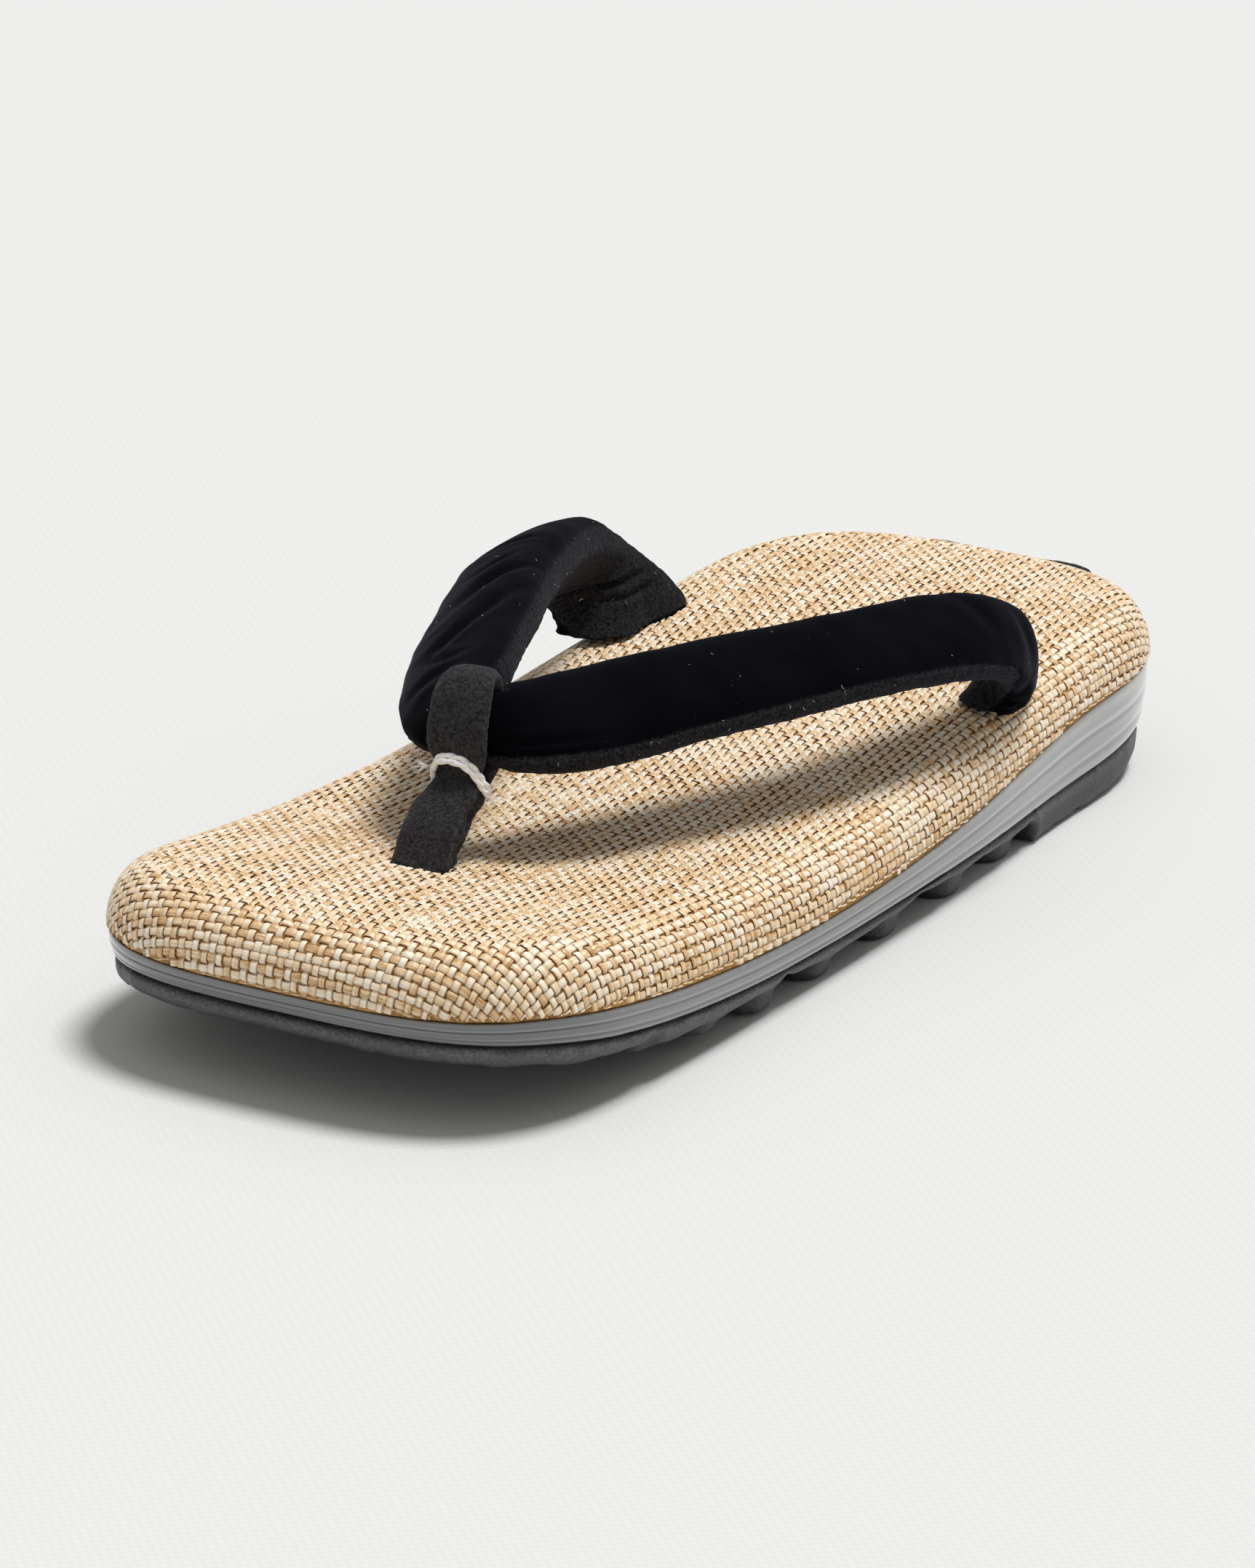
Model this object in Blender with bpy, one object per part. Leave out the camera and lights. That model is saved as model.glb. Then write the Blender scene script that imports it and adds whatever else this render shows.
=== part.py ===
# A zori sandal: a woven footbed set in a clear ribbed midsole, on a rubber outsole with
# lugs, and two padded velvet straps that a tied fleece thong holds down at the toe.
# Metres, +Z up. The toe points to -Y, +X is the outer side of one strap, and the origin
# is on the floor under the middle of the sandal. Each half mirrors the other.
import math

import bmesh
import bpy
import numpy as np
from mathutils import Vector

# Gap kept between two pieces that touch
CLEARANCE = 0.0003

# Plan of the footbed, and the distance from its toe to the middle of the whole sandal,
# whose heel tab leans out at the back
FOOTBED_LENGTH = 0.265
MIDDLE_STATION = 0.1350
FOOTBED_WIDTH = 0.101
TOE_ROUND = 0.044
TOE_SQUARENESS = 3.3
HEEL_ROUND = 0.053
HEEL_SQUARENESS = 2.8

# Heights of the sole, from the floor up
TREAD_HEIGHT = 0.0075
TOE_SPRING = 0.0095
HEEL_SPRING = 0.0035
MIDSOLE_FRONT = 0.0061
MIDSOLE_WEDGE = 0.0076

# Footbed slab above the midsole's lip
FOOTBED_RISE = 0.0109
FOOTBED_CROWN = 0.0009
FOOTBED_EDGE = 0.0089
FOOTBED_EDGE_SQUARENESS = 2.1
FOOTBED_FOOT_ROUND = 0.0008

# Midsole cup: the footbed's foot is drawn in by FOOTBED_TUCK to leave room for the lip
FOOTBED_TUCK = 0.0010
LIP_DEPTH = 0.0020
LIP_WALL = 0.0008
LIP_ROUND = 0.0003
MIDSOLE_BULGE = 0.0010

# Outsole
PLATE_THICKNESS = 0.0022
SIDE_THICKNESS = 0.0030
NOTCH_THICKNESS = 0.0010
NOTCH_WIDTH = 0.0024
OUTSOLE_INSET = 0.0004
OUTSOLE_EDGE_ROUND = 0.0012
LUG_LENGTH = 0.0120
LUG_WIDTH = 0.0130
LUG_TAPER = 0.0012
LUG_INSET = 0.0022
HEEL_BLOCK_START = 0.1925
HEEL_BLOCK_INSET = 0.0006
HEEL_BLOCK_TAPER = 0.0016
HEEL_BEVEL_START = 0.2200
HEEL_BEVEL_RISE = 0.0035
NICK_WIDTH = 0.0016
NICK_DEPTH = 0.0014

# Straps: the V starts at VAMP_STATION from the toe, and the tails go into slits
VAMP_STATION = 0.0570
STRAP_RUN = 0.1345
SLIT_OFFSET = 0.0395
STRAP_HEIGHT = 0.0300
STRAP_THICKNESS = 0.0088
STRAP_SQUARENESS = 2.5

# The left strap is lifted, less at its inner rail, and puffed over so many table rows
LEFT_STRAP_LIFT = 0.0020
LIFT_ROWS = 6.5
LIFT_INNER_SHARE = 0.3
LEFT_STRAP_PUFF = 0.0040
PUFF_ROWS = 9

# Thong: a fleece strip that loops over the V and is tied below it. It leaves the
# footbed at THONG_STATION, and the tie is TIE_BACK behind and TIE_UP above that.
THONG_STATION = 0.0468
THONG_WIDTH = 0.0122
THONG_THICKNESS = 0.0028
THONG_FOLD = 0.0007
THONG_DEPTH = 0.0045
THONG_BOW = 0.0020
TIE_BACK = 0.0112
TIE_UP = 0.0142
TIE_ARCH = 0.0025
TIE_ARCH_LEAN = 0.95
TIE_THICKNESS = 0.0015

# Tab that stands on the lip at the back of the heel and leans out
TAB_WIDTH = 0.040
TAB_HEIGHT = 0.0062
TAB_LEAN = 0.0040
TAB_END_SHARE = 0.75
TAB_THICKNESS = 0.0009

# Faceting
RING_STEP = 0.0085
SECTION_POINTS = 16

# Half width along the length: share of the length, share of half the width
PLAN = (
    # station, half width
    (0.00, 0.937),
    (0.20, 0.992),
    (0.40, 1.000),
    (0.60, 0.985),
    (0.80, 0.925),
    (1.00, 0.960),
)

# Side view along the length: share of the length, then shares of TOE_SPRING,
# HEEL_SPRING, MIDSOLE_FRONT and MIDSOLE_WEDGE
SIDE_VIEW = (
    # station, toe spring, heel spring, front, wedge
    (0.00, 1.00, 0.00, 0.68, 0.00),
    (0.06, 0.84, 0.00, 0.86, 0.00),
    (0.12, 0.58, 0.00, 0.97, 0.00),
    (0.20, 0.29, 0.00, 1.00, 0.00),
    (0.30, 0.08, 0.00, 1.00, 0.00),
    (0.40, 0.00, 0.00, 1.00, 0.01),
    (0.50, 0.00, 0.00, 1.00, 0.12),
    (0.60, 0.00, 0.00, 1.00, 0.39),
    (0.72, 0.00, 0.00, 1.00, 0.80),
    (0.82, 0.00, 0.21, 1.00, 1.00),
    (0.92, 0.00, 0.63, 1.00, 0.90),
    (1.00, 0.00, 1.00, 1.00, 0.74),
)

# Side of the midsole from bottom to lip: share of its height, share of MIDSOLE_BULGE
MIDSOLE_SIDE = (
    # height, bulge
    (0.00, -1.20),
    (0.06, -0.75),
    (0.20, -0.45),
    (0.25, -0.80),
    (0.31, -0.30),
    (0.52, -0.05),
    (0.57, -0.40),
    (0.63, 0.05),
    (0.84, 0.10),
)

# Side blocks of the outsole, between notches: shares of the length, then the thickness
# at the start, middle and end of the block as shares of SIDE_THICKNESS
SIDE_BLOCKS = (
    # start, end, thickness at start, middle, end
    (-0.05, 0.163, 1.15, 1.35, 0.97),
    (0.163, 0.338, 1.45, 1.15, 0.70),
    (0.338, 0.528, 0.75, 0.88, 0.50),
    (0.528, 0.726, 0.45, 0.78, 0.80),
)

# Rows of lugs: share of the length, and the lug's height as a share of TREAD_HEIGHT.
# The columns are shares of the reach inside the edge.
LUG_ROWS = (
    # station, height
    (0.090, 0.62),
    (0.165, 0.72),
    (0.243, 0.90),
    (0.320, 1.00),
    (0.400, 1.00),
    (0.497, 1.00),
    (0.597, 1.00),
    (0.683, 1.00),
)
LUG_COLUMNS = (-1.00, -0.34, 0.34, 1.00)
NICK_STATIONS = (0.765, 0.803, 0.838, 0.875, 0.915)

# Rails of the strap on the +X side, from just past the middle of the V to the slit's
# floor. Each rail has shares of SLIT_OFFSET outwards, of STRAP_RUN backwards and of
# STRAP_HEIGHT above the footbed's top at that station, and the last column is a share of
# STRAP_THICKNESS. The second row is the section that both straps share at the middle.
STRAP_RAILS = (
    # inner: out, back, up; outer: out, back, up; thickness
    (-0.08, 0.044, 1.00, -0.08, 0.028, 0.66, 0.50),
    (0.00, 0.050, 1.05, 0.00, 0.030, 0.61, 0.73),
    (0.06, 0.126, 1.00, 0.26, 0.032, 0.57, 0.90),
    (0.14, 0.205, 1.00, 0.50, 0.100, 0.60, 1.00),
    (0.30, 0.320, 1.01, 0.73, 0.245, 0.67, 1.00),
    (0.50, 0.468, 1.00, 0.94, 0.400, 0.69, 1.00),
    (0.71, 0.617, 0.95, 1.15, 0.558, 0.67, 1.00),
    (0.88, 0.766, 0.87, 1.27, 0.705, 0.57, 1.00),
    (0.99, 0.872, 0.75, 1.32, 0.798, 0.43, 1.00),
    (1.04, 0.955, 0.56, 1.29, 0.855, 0.27, 1.02),
    (1.01, 1.018, 0.32, 1.19, 0.886, 0.12, 1.06),
    (0.95, 1.055, 0.10, 1.09, 0.902, 0.00, 1.10),
    (0.91, 1.070, -0.08, 1.05, 0.905, -0.12, 1.12),
)
VAMP_ROW = 1
MOUTH_ROWS = 4

# Loop of the thong over the V: degrees round the strap's section from its front end,
# and the strip's width there as a share of THONG_WIDTH
THONG_LOOP = (
    # turn, width
    (48, 0.98),
    (78, 1.02),
    (108, 1.00),
    (140, 0.92),
    (176, 0.70),
    (215, 0.56),
    (255, 0.56),
    (290, 0.66),
    (318, 0.78),
)
TIED_WIDTH = 0.80
LEG_ROWS = 3

COLOURS = {
    "footbed": ((0.62, 0.44, 0.25), 0.65),
    "midsole": ((0.36, 0.36, 0.35), 0.25),
    "outsole": ((0.045, 0.045, 0.048), 0.75),
    "upper": ((0.006, 0.006, 0.009), 0.85),
    "thong": ((0.016, 0.016, 0.018), 0.95),
    "tie": ((0.75, 0.74, 0.70), 0.85),
    "heel_tab": ((0.02, 0.02, 0.02), 0.85),
}


def clear_scene():
    for obj in list(bpy.data.objects):
        bpy.data.objects.remove(obj)


def smooth(table, at, column):
    """Value of a table's column at a station, on a smooth curve through its rows."""
    stations = [row[0] for row in table]
    values = [row[column] for row in table]
    at = min(max(at, stations[0]), stations[-1])
    last = len(stations) - 2
    i = 0
    while i < last and at > stations[i + 1]:
        i += 1

    def slope(k):
        low, high = max(k - 1, 0), min(k + 1, last + 1)
        return (values[high] - values[low]) / (stations[high] - stations[low])

    span = stations[i + 1] - stations[i]
    t = (at - stations[i]) / span
    return (
        values[i] * (2 * t**3 - 3 * t**2 + 1)
        + slope(i) * span * (t**3 - 2 * t**2 + t)
        + values[i + 1] * (3 * t**2 - 2 * t**3)
        + slope(i + 1) * span * (t**3 - t**2)
    )


def half_width(station):
    """Half the footbed's width at a distance from the toe."""
    station = min(max(station, 0.0), FOOTBED_LENGTH)
    half = smooth(PLAN, station / FOOTBED_LENGTH, 1) * FOOTBED_WIDTH / 2
    ends = (
        (TOE_ROUND - station, TOE_ROUND, TOE_SQUARENESS),
        (station - FOOTBED_LENGTH + HEEL_ROUND, HEEL_ROUND, HEEL_SQUARENESS),
    )
    for depth, reach, power in ends:
        if depth > 0:
            half *= max(1 - (depth / reach) ** power, 0.0) ** (1 / power)
    return half


def tread_height(station):
    """Underside of the midsole."""
    share = station / FOOTBED_LENGTH
    return (
        TREAD_HEIGHT
        + TOE_SPRING * smooth(SIDE_VIEW, share, 1)
        + HEEL_SPRING * smooth(SIDE_VIEW, share, 2)
    )


def seat_height(station):
    """Top of the midsole's lip."""
    share = station / FOOTBED_LENGTH
    return (
        tread_height(station)
        + MIDSOLE_FRONT * smooth(SIDE_VIEW, share, 3)
        + MIDSOLE_WEDGE * smooth(SIDE_VIEW, share, 4)
    )


def footbed_top(station):
    return seat_height(station) + FOOTBED_RISE + FOOTBED_CROWN


def to_y(station):
    return station - MIDDLE_STATION


def plan_ring(extra_stations=()):
    """Closed ring of the footbed's plan: rows of x, station and the outward normal."""
    dense = 1600
    turn = np.linspace(0, math.pi, dense + 1)
    stations = FOOTBED_LENGTH * (1 - np.cos(turn)) / 2
    widths = np.array([half_width(s) for s in stations])
    widths[0] = widths[-1] = 0.0
    steps = np.hypot(np.diff(widths), np.diff(stations))
    arc = np.concatenate([[0.0], np.cumsum(steps)])
    count = max(round(arc[-1] / RING_STEP), 8)
    fixed = [float(np.interp(s, stations, arc)) for s in extra_stations]
    even = [
        a
        for a in np.linspace(0, arc[-1], count + 1)
        if all(abs(a - f) > RING_STEP / 3 for f in fixed)
    ]
    arcs = np.array(sorted(even + fixed))
    x = np.interp(arcs, arc, widths)
    s = np.interp(arcs, arc, stations)
    reach = RING_STEP / 4
    ahead = np.clip(arcs + reach, 0, arc[-1])
    behind = np.clip(arcs - reach, 0, arc[-1])
    run_x = np.interp(ahead, arc, widths) - np.interp(behind, arc, widths)
    run_s = np.interp(ahead, arc, stations) - np.interp(behind, arc, stations)
    size = np.hypot(run_x, run_s)
    normal_x = run_s / size
    normal_s = -run_x / size
    x[0] = x[-1] = 0.0
    normal_x[0] = normal_x[-1] = 0.0
    normal_s[0], normal_s[-1] = -1.0, 1.0
    right = np.stack([x, s, normal_x, normal_s], 1)
    left = right[-2:0:-1] * np.array([-1, 1, -1, 1])
    return np.concatenate([right, left])


def edge_ring(ring, outset, height):
    """Ring of points at a distance outside the plan, at a height found per station."""
    points = []
    for x, s, normal_x, normal_s in ring:
        points.append(Vector((x + normal_x * outset, to_y(s + normal_s * outset), height(s))))
    return points


def inner_ring(ring, outset, share, height):
    """Ring drawn in from the edge towards the spine, which it reaches at a share of 0."""
    points = []
    for x, s, normal_x, normal_s in ring:
        spine = min(max(s, TOE_ROUND), FOOTBED_LENGTH - HEEL_ROUND)
        inner_x = (x + normal_x * outset) * share
        inner_s = spine + (s + normal_s * outset - spine) * share
        points.append(Vector((inner_x, to_y(inner_s), height(inner_s, share))))
    return points


def loft(rings, caps=False):
    """Closed mesh through rings of equal length."""
    mesh = bmesh.new()
    rows = [[mesh.verts.new(point) for point in ring] for ring in rings]
    count = len(rings[0])
    for low, high in zip(rows, rows[1:]):
        for i in range(count):
            j = (i + 1) % count
            mesh.faces.new((low[i], low[j], high[j], high[i]))
    if caps:
        mesh.faces.new(list(reversed(rows[0])))
        mesh.faces.new(rows[-1])
    bmesh.ops.remove_doubles(mesh, verts=mesh.verts, dist=1e-6)
    bmesh.ops.dissolve_degenerate(mesh, edges=mesh.edges, dist=1e-7)
    bmesh.ops.recalc_face_normals(mesh, faces=mesh.faces)
    return mesh


def material(name):
    colour, roughness = COLOURS[name]
    made = bpy.data.materials.new(name)
    made.use_nodes = True
    shader = made.node_tree.nodes["Principled BSDF"]
    shader.inputs["Base Color"].default_value = (*colour, 1)
    shader.inputs["Roughness"].default_value = roughness
    return made


def add_object(name, mesh, look=None):
    data = bpy.data.meshes.new(name)
    mesh.to_mesh(data)
    mesh.free()
    obj = bpy.data.objects.new(name, data)
    bpy.context.scene.collection.objects.link(obj)
    if look:
        data.materials.append(material(look))
        data.shade_smooth()
        data.set_sharp_from_angle(angle=math.radians(38))
    return obj


def add_cutter(name, mesh):
    obj = add_object(name, mesh)
    obj.hide_render = True
    obj.display_type = "WIRE"
    return obj


def combine(obj, other, operation):
    modifier = obj.modifiers.new(other.name, "BOOLEAN")
    modifier.object = other
    modifier.operation = operation
    modifier.solver = "EXACT"


def join(meshes):
    """One mesh of several separate bodies."""
    joined = bmesh.new()
    for mesh in meshes:
        data = bpy.data.meshes.new("body")
        mesh.to_mesh(data)
        mesh.free()
        joined.from_mesh(data)
        bpy.data.meshes.remove(data)
    return joined


def build_footbed(slits):
    """Padded slab: it stands in the midsole's cup and its top edge is rounded."""
    ring = plan_ring()

    def bottom(s, share=0):
        return seat_height(s) - LIP_DEPTH + CLEARANCE

    foot = -FOOTBED_TUCK - FOOTBED_FOOT_ROUND
    rings = [inner_ring(ring, foot, share, bottom) for share in (0, 0.55)]
    rings.append(edge_ring(ring, foot, bottom))
    rings.append(edge_ring(ring, -FOOTBED_TUCK, lambda s: bottom(s) + FOOTBED_FOOT_ROUND))
    rings.append(edge_ring(ring, -FOOTBED_TUCK, seat_height))
    steps = 6
    power = 2 / FOOTBED_EDGE_SQUARENESS
    for step in range(steps + 1):
        angle = math.pi / 2 * step / steps
        inset = FOOTBED_EDGE * (1 - max(math.cos(angle), 0.0) ** power)
        rise = FOOTBED_RISE * math.sin(angle) ** power
        rings.append(edge_ring(ring, -inset, lambda s, rise=rise: seat_height(s) + rise))

    def crown(s, share):
        return seat_height(s) + FOOTBED_RISE + FOOTBED_CROWN * (1 - share**2)

    rings += [inner_ring(ring, -FOOTBED_EDGE, share, crown) for share in (0.8, 0.45, 0)]
    obj = add_object("footbed", loft(rings), "footbed")
    for slit in slits:
        combine(obj, slit, "DIFFERENCE")
    return obj


def build_midsole():
    """Cup: a ribbed outer wall, a thin lip round the footbed's foot, and a floor."""
    ring = plan_ring()
    inside = CLEARANCE - FOOTBED_TUCK
    wall = inside + LIP_WALL

    def floor(s, share=0):
        return seat_height(s) - LIP_DEPTH

    def under(s, share=0):
        return tread_height(s)

    def lip(s):
        return seat_height(s) - CLEARANCE

    def up_wall(share):
        return lambda s: tread_height(s) + (seat_height(s) - tread_height(s)) * share

    rings = [inner_ring(ring, -MIDSOLE_BULGE, share, under) for share in (0, 0.6)]
    for share, bulge in MIDSOLE_SIDE:
        rings.append(edge_ring(ring, wall + MIDSOLE_BULGE * bulge, up_wall(share)))
    rings.append(edge_ring(ring, wall, lambda s: lip(s) - LIP_ROUND))
    rings.append(edge_ring(ring, wall - LIP_ROUND, lip))
    rings.append(edge_ring(ring, inside + LIP_ROUND, lip))
    rings.append(edge_ring(ring, inside, lambda s: lip(s) - LIP_ROUND))
    rings.append(edge_ring(ring, inside, floor))
    rings += [inner_ring(ring, inside, share, floor) for share in (0.55, 0)]
    return add_object("midsole", loft(rings), "midsole")


def heel_underside(station):
    """Height of the heel block's underside, which curls up behind the bevel's start."""
    share = (station - HEEL_BEVEL_START) / (FOOTBED_LENGTH - HEEL_BEVEL_START)
    return HEEL_BEVEL_RISE * min(max(share, 0.0), 1.0) ** 1.2


def side_thickness(station):
    """Thickness of the outsole's edge: blocks parted by notches, then the heel block."""
    if station >= HEEL_BLOCK_START:
        return tread_height(station) - CLEARANCE - heel_underside(station)
    for start, end, first, middle, last in SIDE_BLOCKS:
        start_at, end_at = start * FOOTBED_LENGTH, min(end * FOOTBED_LENGTH, HEEL_BLOCK_START)
        if start_at <= station <= end_at:
            t = (station - start_at) / (end_at - start_at)
            bow = first * (1 - t) * (1 - 2 * t) + middle * 4 * t * (1 - t) + last * t * (2 * t - 1)
            full = SIDE_THICKNESS * bow
            edge = min(station - start_at, end_at - station)
            rise = min(max(edge / NOTCH_WIDTH - 0.5, 0.0) * 2, 1.0)
            return NOTCH_THICKNESS + (full - NOTCH_THICKNESS) * rise
    return NOTCH_THICKNESS


def plate_thickness(station):
    if station >= HEEL_BLOCK_START:
        return side_thickness(station)
    return PLATE_THICKNESS


def lug_mesh(x, station, height):
    """One lug: an eight-sided block from inside the plate down towards the floor."""
    outline = []
    for corner_x, corner_s in ((-1, -1), (1, -1), (1, 1), (-1, 1)):
        for cut_x, cut_s in ((1.0, 0.5), (0.5, 1.0))[:: corner_x * corner_s]:
            outline.append((corner_x * cut_x / 2, corner_s * cut_s / 2))
    rings = []
    for drop, taper in ((CLEARANCE + PLATE_THICKNESS / 2, 0.0), (height, LUG_TAPER)):
        points = []
        for side_x, side_s in outline:
            at_x = x + side_x * (LUG_WIDTH - taper)
            at_s = station + side_s * (LUG_LENGTH - taper)
            points.append(Vector((at_x, to_y(at_s), max(tread_height(at_s) - drop, 0.0))))
        rings.append(points)
    return loft(rings, caps=True)


def nick_mesh(x, station, normal_x, normal_s):
    """Small box across the heel block's lower edge."""
    out = Vector((normal_x, normal_s, 0))
    along = Vector((-normal_s, normal_x, 0))
    middle = Vector((x, to_y(station), 0))
    rings = []
    for height in (-NICK_DEPTH, NICK_DEPTH):
        ring = []
        for side, reach in ((-1, -1), (1, -1), (1, 1), (-1, 1)):
            across = along * (side * NICK_WIDTH / 2)
            depth = out * (reach * (NICK_DEPTH + HEEL_BLOCK_TAPER))
            ring.append(middle + across + depth + Vector((0, 0, height)))
        rings.append(ring)
    return loft(rings, caps=True)


def build_outsole():
    """Rubber plate with notched side blocks, lugs below it and a block under the heel."""
    stops = []
    for block in SIDE_BLOCKS[1:]:
        at = block[0] * FOOTBED_LENGTH
        stops += [at - NOTCH_WIDTH, at - NOTCH_WIDTH / 2, at + NOTCH_WIDTH / 2, at + NOTCH_WIDTH]
    stops += [HEEL_BLOCK_START - NOTCH_WIDTH, HEEL_BLOCK_START - NOTCH_WIDTH / 2]
    stops += [HEEL_BLOCK_START, HEEL_BLOCK_START + NOTCH_WIDTH / 2]
    ring = plan_ring(stops)
    wall = -OUTSOLE_INSET

    def top(s, share=0):
        return tread_height(s) - CLEARANCE

    def inset(s):
        return HEEL_BLOCK_INSET if s > HEEL_BLOCK_START else 0.0

    def side(extra, height):
        points = []
        for x, s, normal_x, normal_s in ring:
            out = wall - inset(s) - extra(s)
            points.append(Vector((x + normal_x * out, to_y(s + normal_s * out), height(s))))
        return points

    def edge_round(s):
        return min(OUTSOLE_EDGE_ROUND, side_thickness(s) * 0.45)

    def under(s):
        return top(s) - side_thickness(s)

    def taper(s):
        return HEEL_BLOCK_TAPER if s > HEEL_BLOCK_START else edge_round(s)

    rings = [inner_ring(ring, wall, share, top) for share in (0, 0.6)]
    rings.append(side(lambda s: 0.0, top))
    rings.append(side(lambda s: taper(s) * 0.3, lambda s: under(s) + edge_round(s)))
    rings.append(side(taper, under))
    inner = wall - 2.5 * SIDE_THICKNESS

    def plate(s, share=0):
        return top(s) - plate_thickness(s)

    rings.append(edge_ring(ring, inner, plate))
    rings += [inner_ring(ring, inner, share, plate) for share in (0.5, 0)]
    obj = add_object("outsole", loft(rings), "outsole")

    lugs = []
    for share, height in LUG_ROWS:
        station = share * FOOTBED_LENGTH
        reach = half_width(station) - LUG_INSET - LUG_WIDTH / 2 + wall
        drop = height * TREAD_HEIGHT
        lugs += [lug_mesh(reach * column, station, drop) for column in LUG_COLUMNS]
    combine(obj, add_cutter("lugs", join(lugs)), "UNION")

    nicks = []
    edge = plan_ring([share * FOOTBED_LENGTH for share in NICK_STATIONS])
    for share in NICK_STATIONS:
        for x, s, normal_x, normal_s in edge:
            if abs(s - share * FOOTBED_LENGTH) < 1e-6:
                out = wall - HEEL_BLOCK_INSET - HEEL_BLOCK_TAPER
                nicks.append(nick_mesh(x + normal_x * out, s + normal_s * out, normal_x, normal_s))
    combine(obj, add_cutter("nicks", join(nicks)), "DIFFERENCE")
    return obj


def swell(at, length):
    """Single even wave from 0 up to 1 and back over a length."""
    return math.sin(math.pi * min(max(at / length, 0.0), 1.0))


def strap_frames(side):
    """Middle rails and thickness along the strap on one side. The left one is fuller."""
    frames = []
    count = 2 * (len(STRAP_RAILS) - 1)
    columns = len(STRAP_RAILS[0])
    rows = [(i, *row) for i, row in enumerate(STRAP_RAILS)]
    for step in range(count + 1):
        at = step * (len(rows) - 1) / count
        row = [smooth(rows, at, column + 1) for column in range(columns)]
        lift = puff = 0.0
        if side < 0:
            lift = LEFT_STRAP_LIFT * swell(at - VAMP_ROW, LIFT_ROWS)
            puff = LEFT_STRAP_PUFF * swell(at - VAMP_ROW, PUFF_ROWS)
        ends = []
        for out, back, up, share in ((*row[0:3], 0.0), (*row[3:6], 1.0)):
            station = VAMP_STATION + back * STRAP_RUN
            height = footbed_top(station) + up * STRAP_HEIGHT
            height += lift * max(share, LIFT_INNER_SHARE)
            ends.append(Vector((side * out * SLIT_OFFSET, to_y(station), height)))
        frames.append((ends[0], ends[1], row[6] * STRAP_THICKNESS + puff))
    return frames


def oval_point(angle):
    """Point of a unit oval whose corners are as full as STRAP_SQUARENESS makes them."""
    power = 2 / STRAP_SQUARENESS
    across = math.copysign(abs(math.cos(angle)) ** power, math.cos(angle))
    out = math.copysign(abs(math.sin(angle)) ** power, math.sin(angle))
    return across, out


def strap_rings(side, grow=0.0):
    """Flat oval sections between the strap's two rails."""
    frames = strap_frames(side)
    middles = [(inner + outer) / 2 for inner, outer, _ in frames]
    rings = []
    for i, (inner, outer, thickness) in enumerate(frames):
        run = middles[min(i + 1, len(frames) - 1)] - middles[max(i - 1, 0)]
        width = outer - inner
        normal = width.cross(run).normalized()
        half = width / 2 + width.normalized() * grow
        ring = []
        for k in range(SECTION_POINTS):
            across, out = oval_point(2 * math.pi * k / SECTION_POINTS)
            ring.append(middles[i] + half * across + normal * out * (thickness / 2 + grow))
        rings.append(ring)
    return rings


def tail_cutter(name, side):
    """Slit for a strap's tail: its last sections grown by the gap, and a floor below."""
    rings = strap_rings(side, CLEARANCE)[-MOUTH_ROWS:]
    floor = [point - Vector((0, 0, CLEARANCE)) for point in rings[-1]]
    return add_cutter(name, loft([*rings, floor], caps=True))


def thong_rows():
    """Path of the thong: rows of station, height and width, from its front end."""
    mouth = Vector((THONG_STATION, footbed_top(THONG_STATION)))
    tie = mouth + Vector((TIE_BACK, TIE_UP))
    rise = (tie - mouth).normalized()
    behind = Vector((rise.y, -rise.x)) * (THONG_THICKNESS + THONG_FOLD)
    root = mouth - rise * THONG_DEPTH
    inner, outer, thickness = strap_frames(1)[2 * VAMP_ROW]
    rear = Vector((inner.y + MIDDLE_STATION, inner.z))
    front = Vector((outer.y + MIDDLE_STATION, outer.z))
    along = (front - rear) / 2
    ahead = Vector((along.y, -along.x)).normalized()
    offset = CLEARANCE + THONG_THICKNESS / 2
    legs = []
    for place in np.linspace(0.0, 1.0, LEG_ROWS):
        width = 1 + (TIED_WIDTH - 1) * place**2
        bow = Vector((-rise.y, rise.x)) * THONG_BOW * 4 * place * (1 - place)
        legs.append((root.lerp(tie, place) + bow, THONG_WIDTH * width))
    rows = [(point.x, point.y, width) for point, width in legs]
    for turn, width in THONG_LOOP:
        across, out = oval_point(math.radians(turn))
        point = (front + rear) / 2 + along.normalized() * (along.length + offset) * across
        point += ahead * (thickness / 2 + offset) * out
        rows.append((point.x, point.y, THONG_WIDTH * width))
    for point, width in reversed(legs):
        rows.append((point.x + behind.x, point.y + behind.y, width))
    return rows


def thong_rings(grow=0.0):
    """Sections of the fleece strip, flat along X, swept along its path."""
    rows = [(i, *row) for i, row in enumerate(thong_rows())]
    count = 2 * (len(rows) - 1)
    path = []
    for step in range(count + 1):
        at = step * (len(rows) - 1) / count
        station, height, width = [smooth(rows, at, column) for column in (1, 2, 3)]
        path.append((Vector((0, to_y(station), height)), width))
    rings = []
    corner = THONG_THICKNESS * 0.4
    half_n = THONG_THICKNESS / 2 + grow
    for i, (point, width) in enumerate(path):
        run = path[min(i + 1, count)][0] - path[max(i - 1, 0)][0]
        normal = Vector((1, 0, 0)).cross(run).normalized()
        half_x = width / 2 + grow
        ring = []
        for sign_x, sign_n in ((-1, -1), (1, -1), (1, 1), (-1, 1)):
            cuts = ((0, 1), (1, 0)) if sign_x * sign_n > 0 else ((1, 0), (0, 1))
            for cut_x, cut_n in cuts:
                at_x = sign_x * (half_x - cut_x * corner)
                at_n = sign_n * (half_n - cut_n * corner)
                ring.append(point + Vector((at_x, 0, 0)) + normal * at_n)
        rings.append(ring)
    return rings


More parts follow.
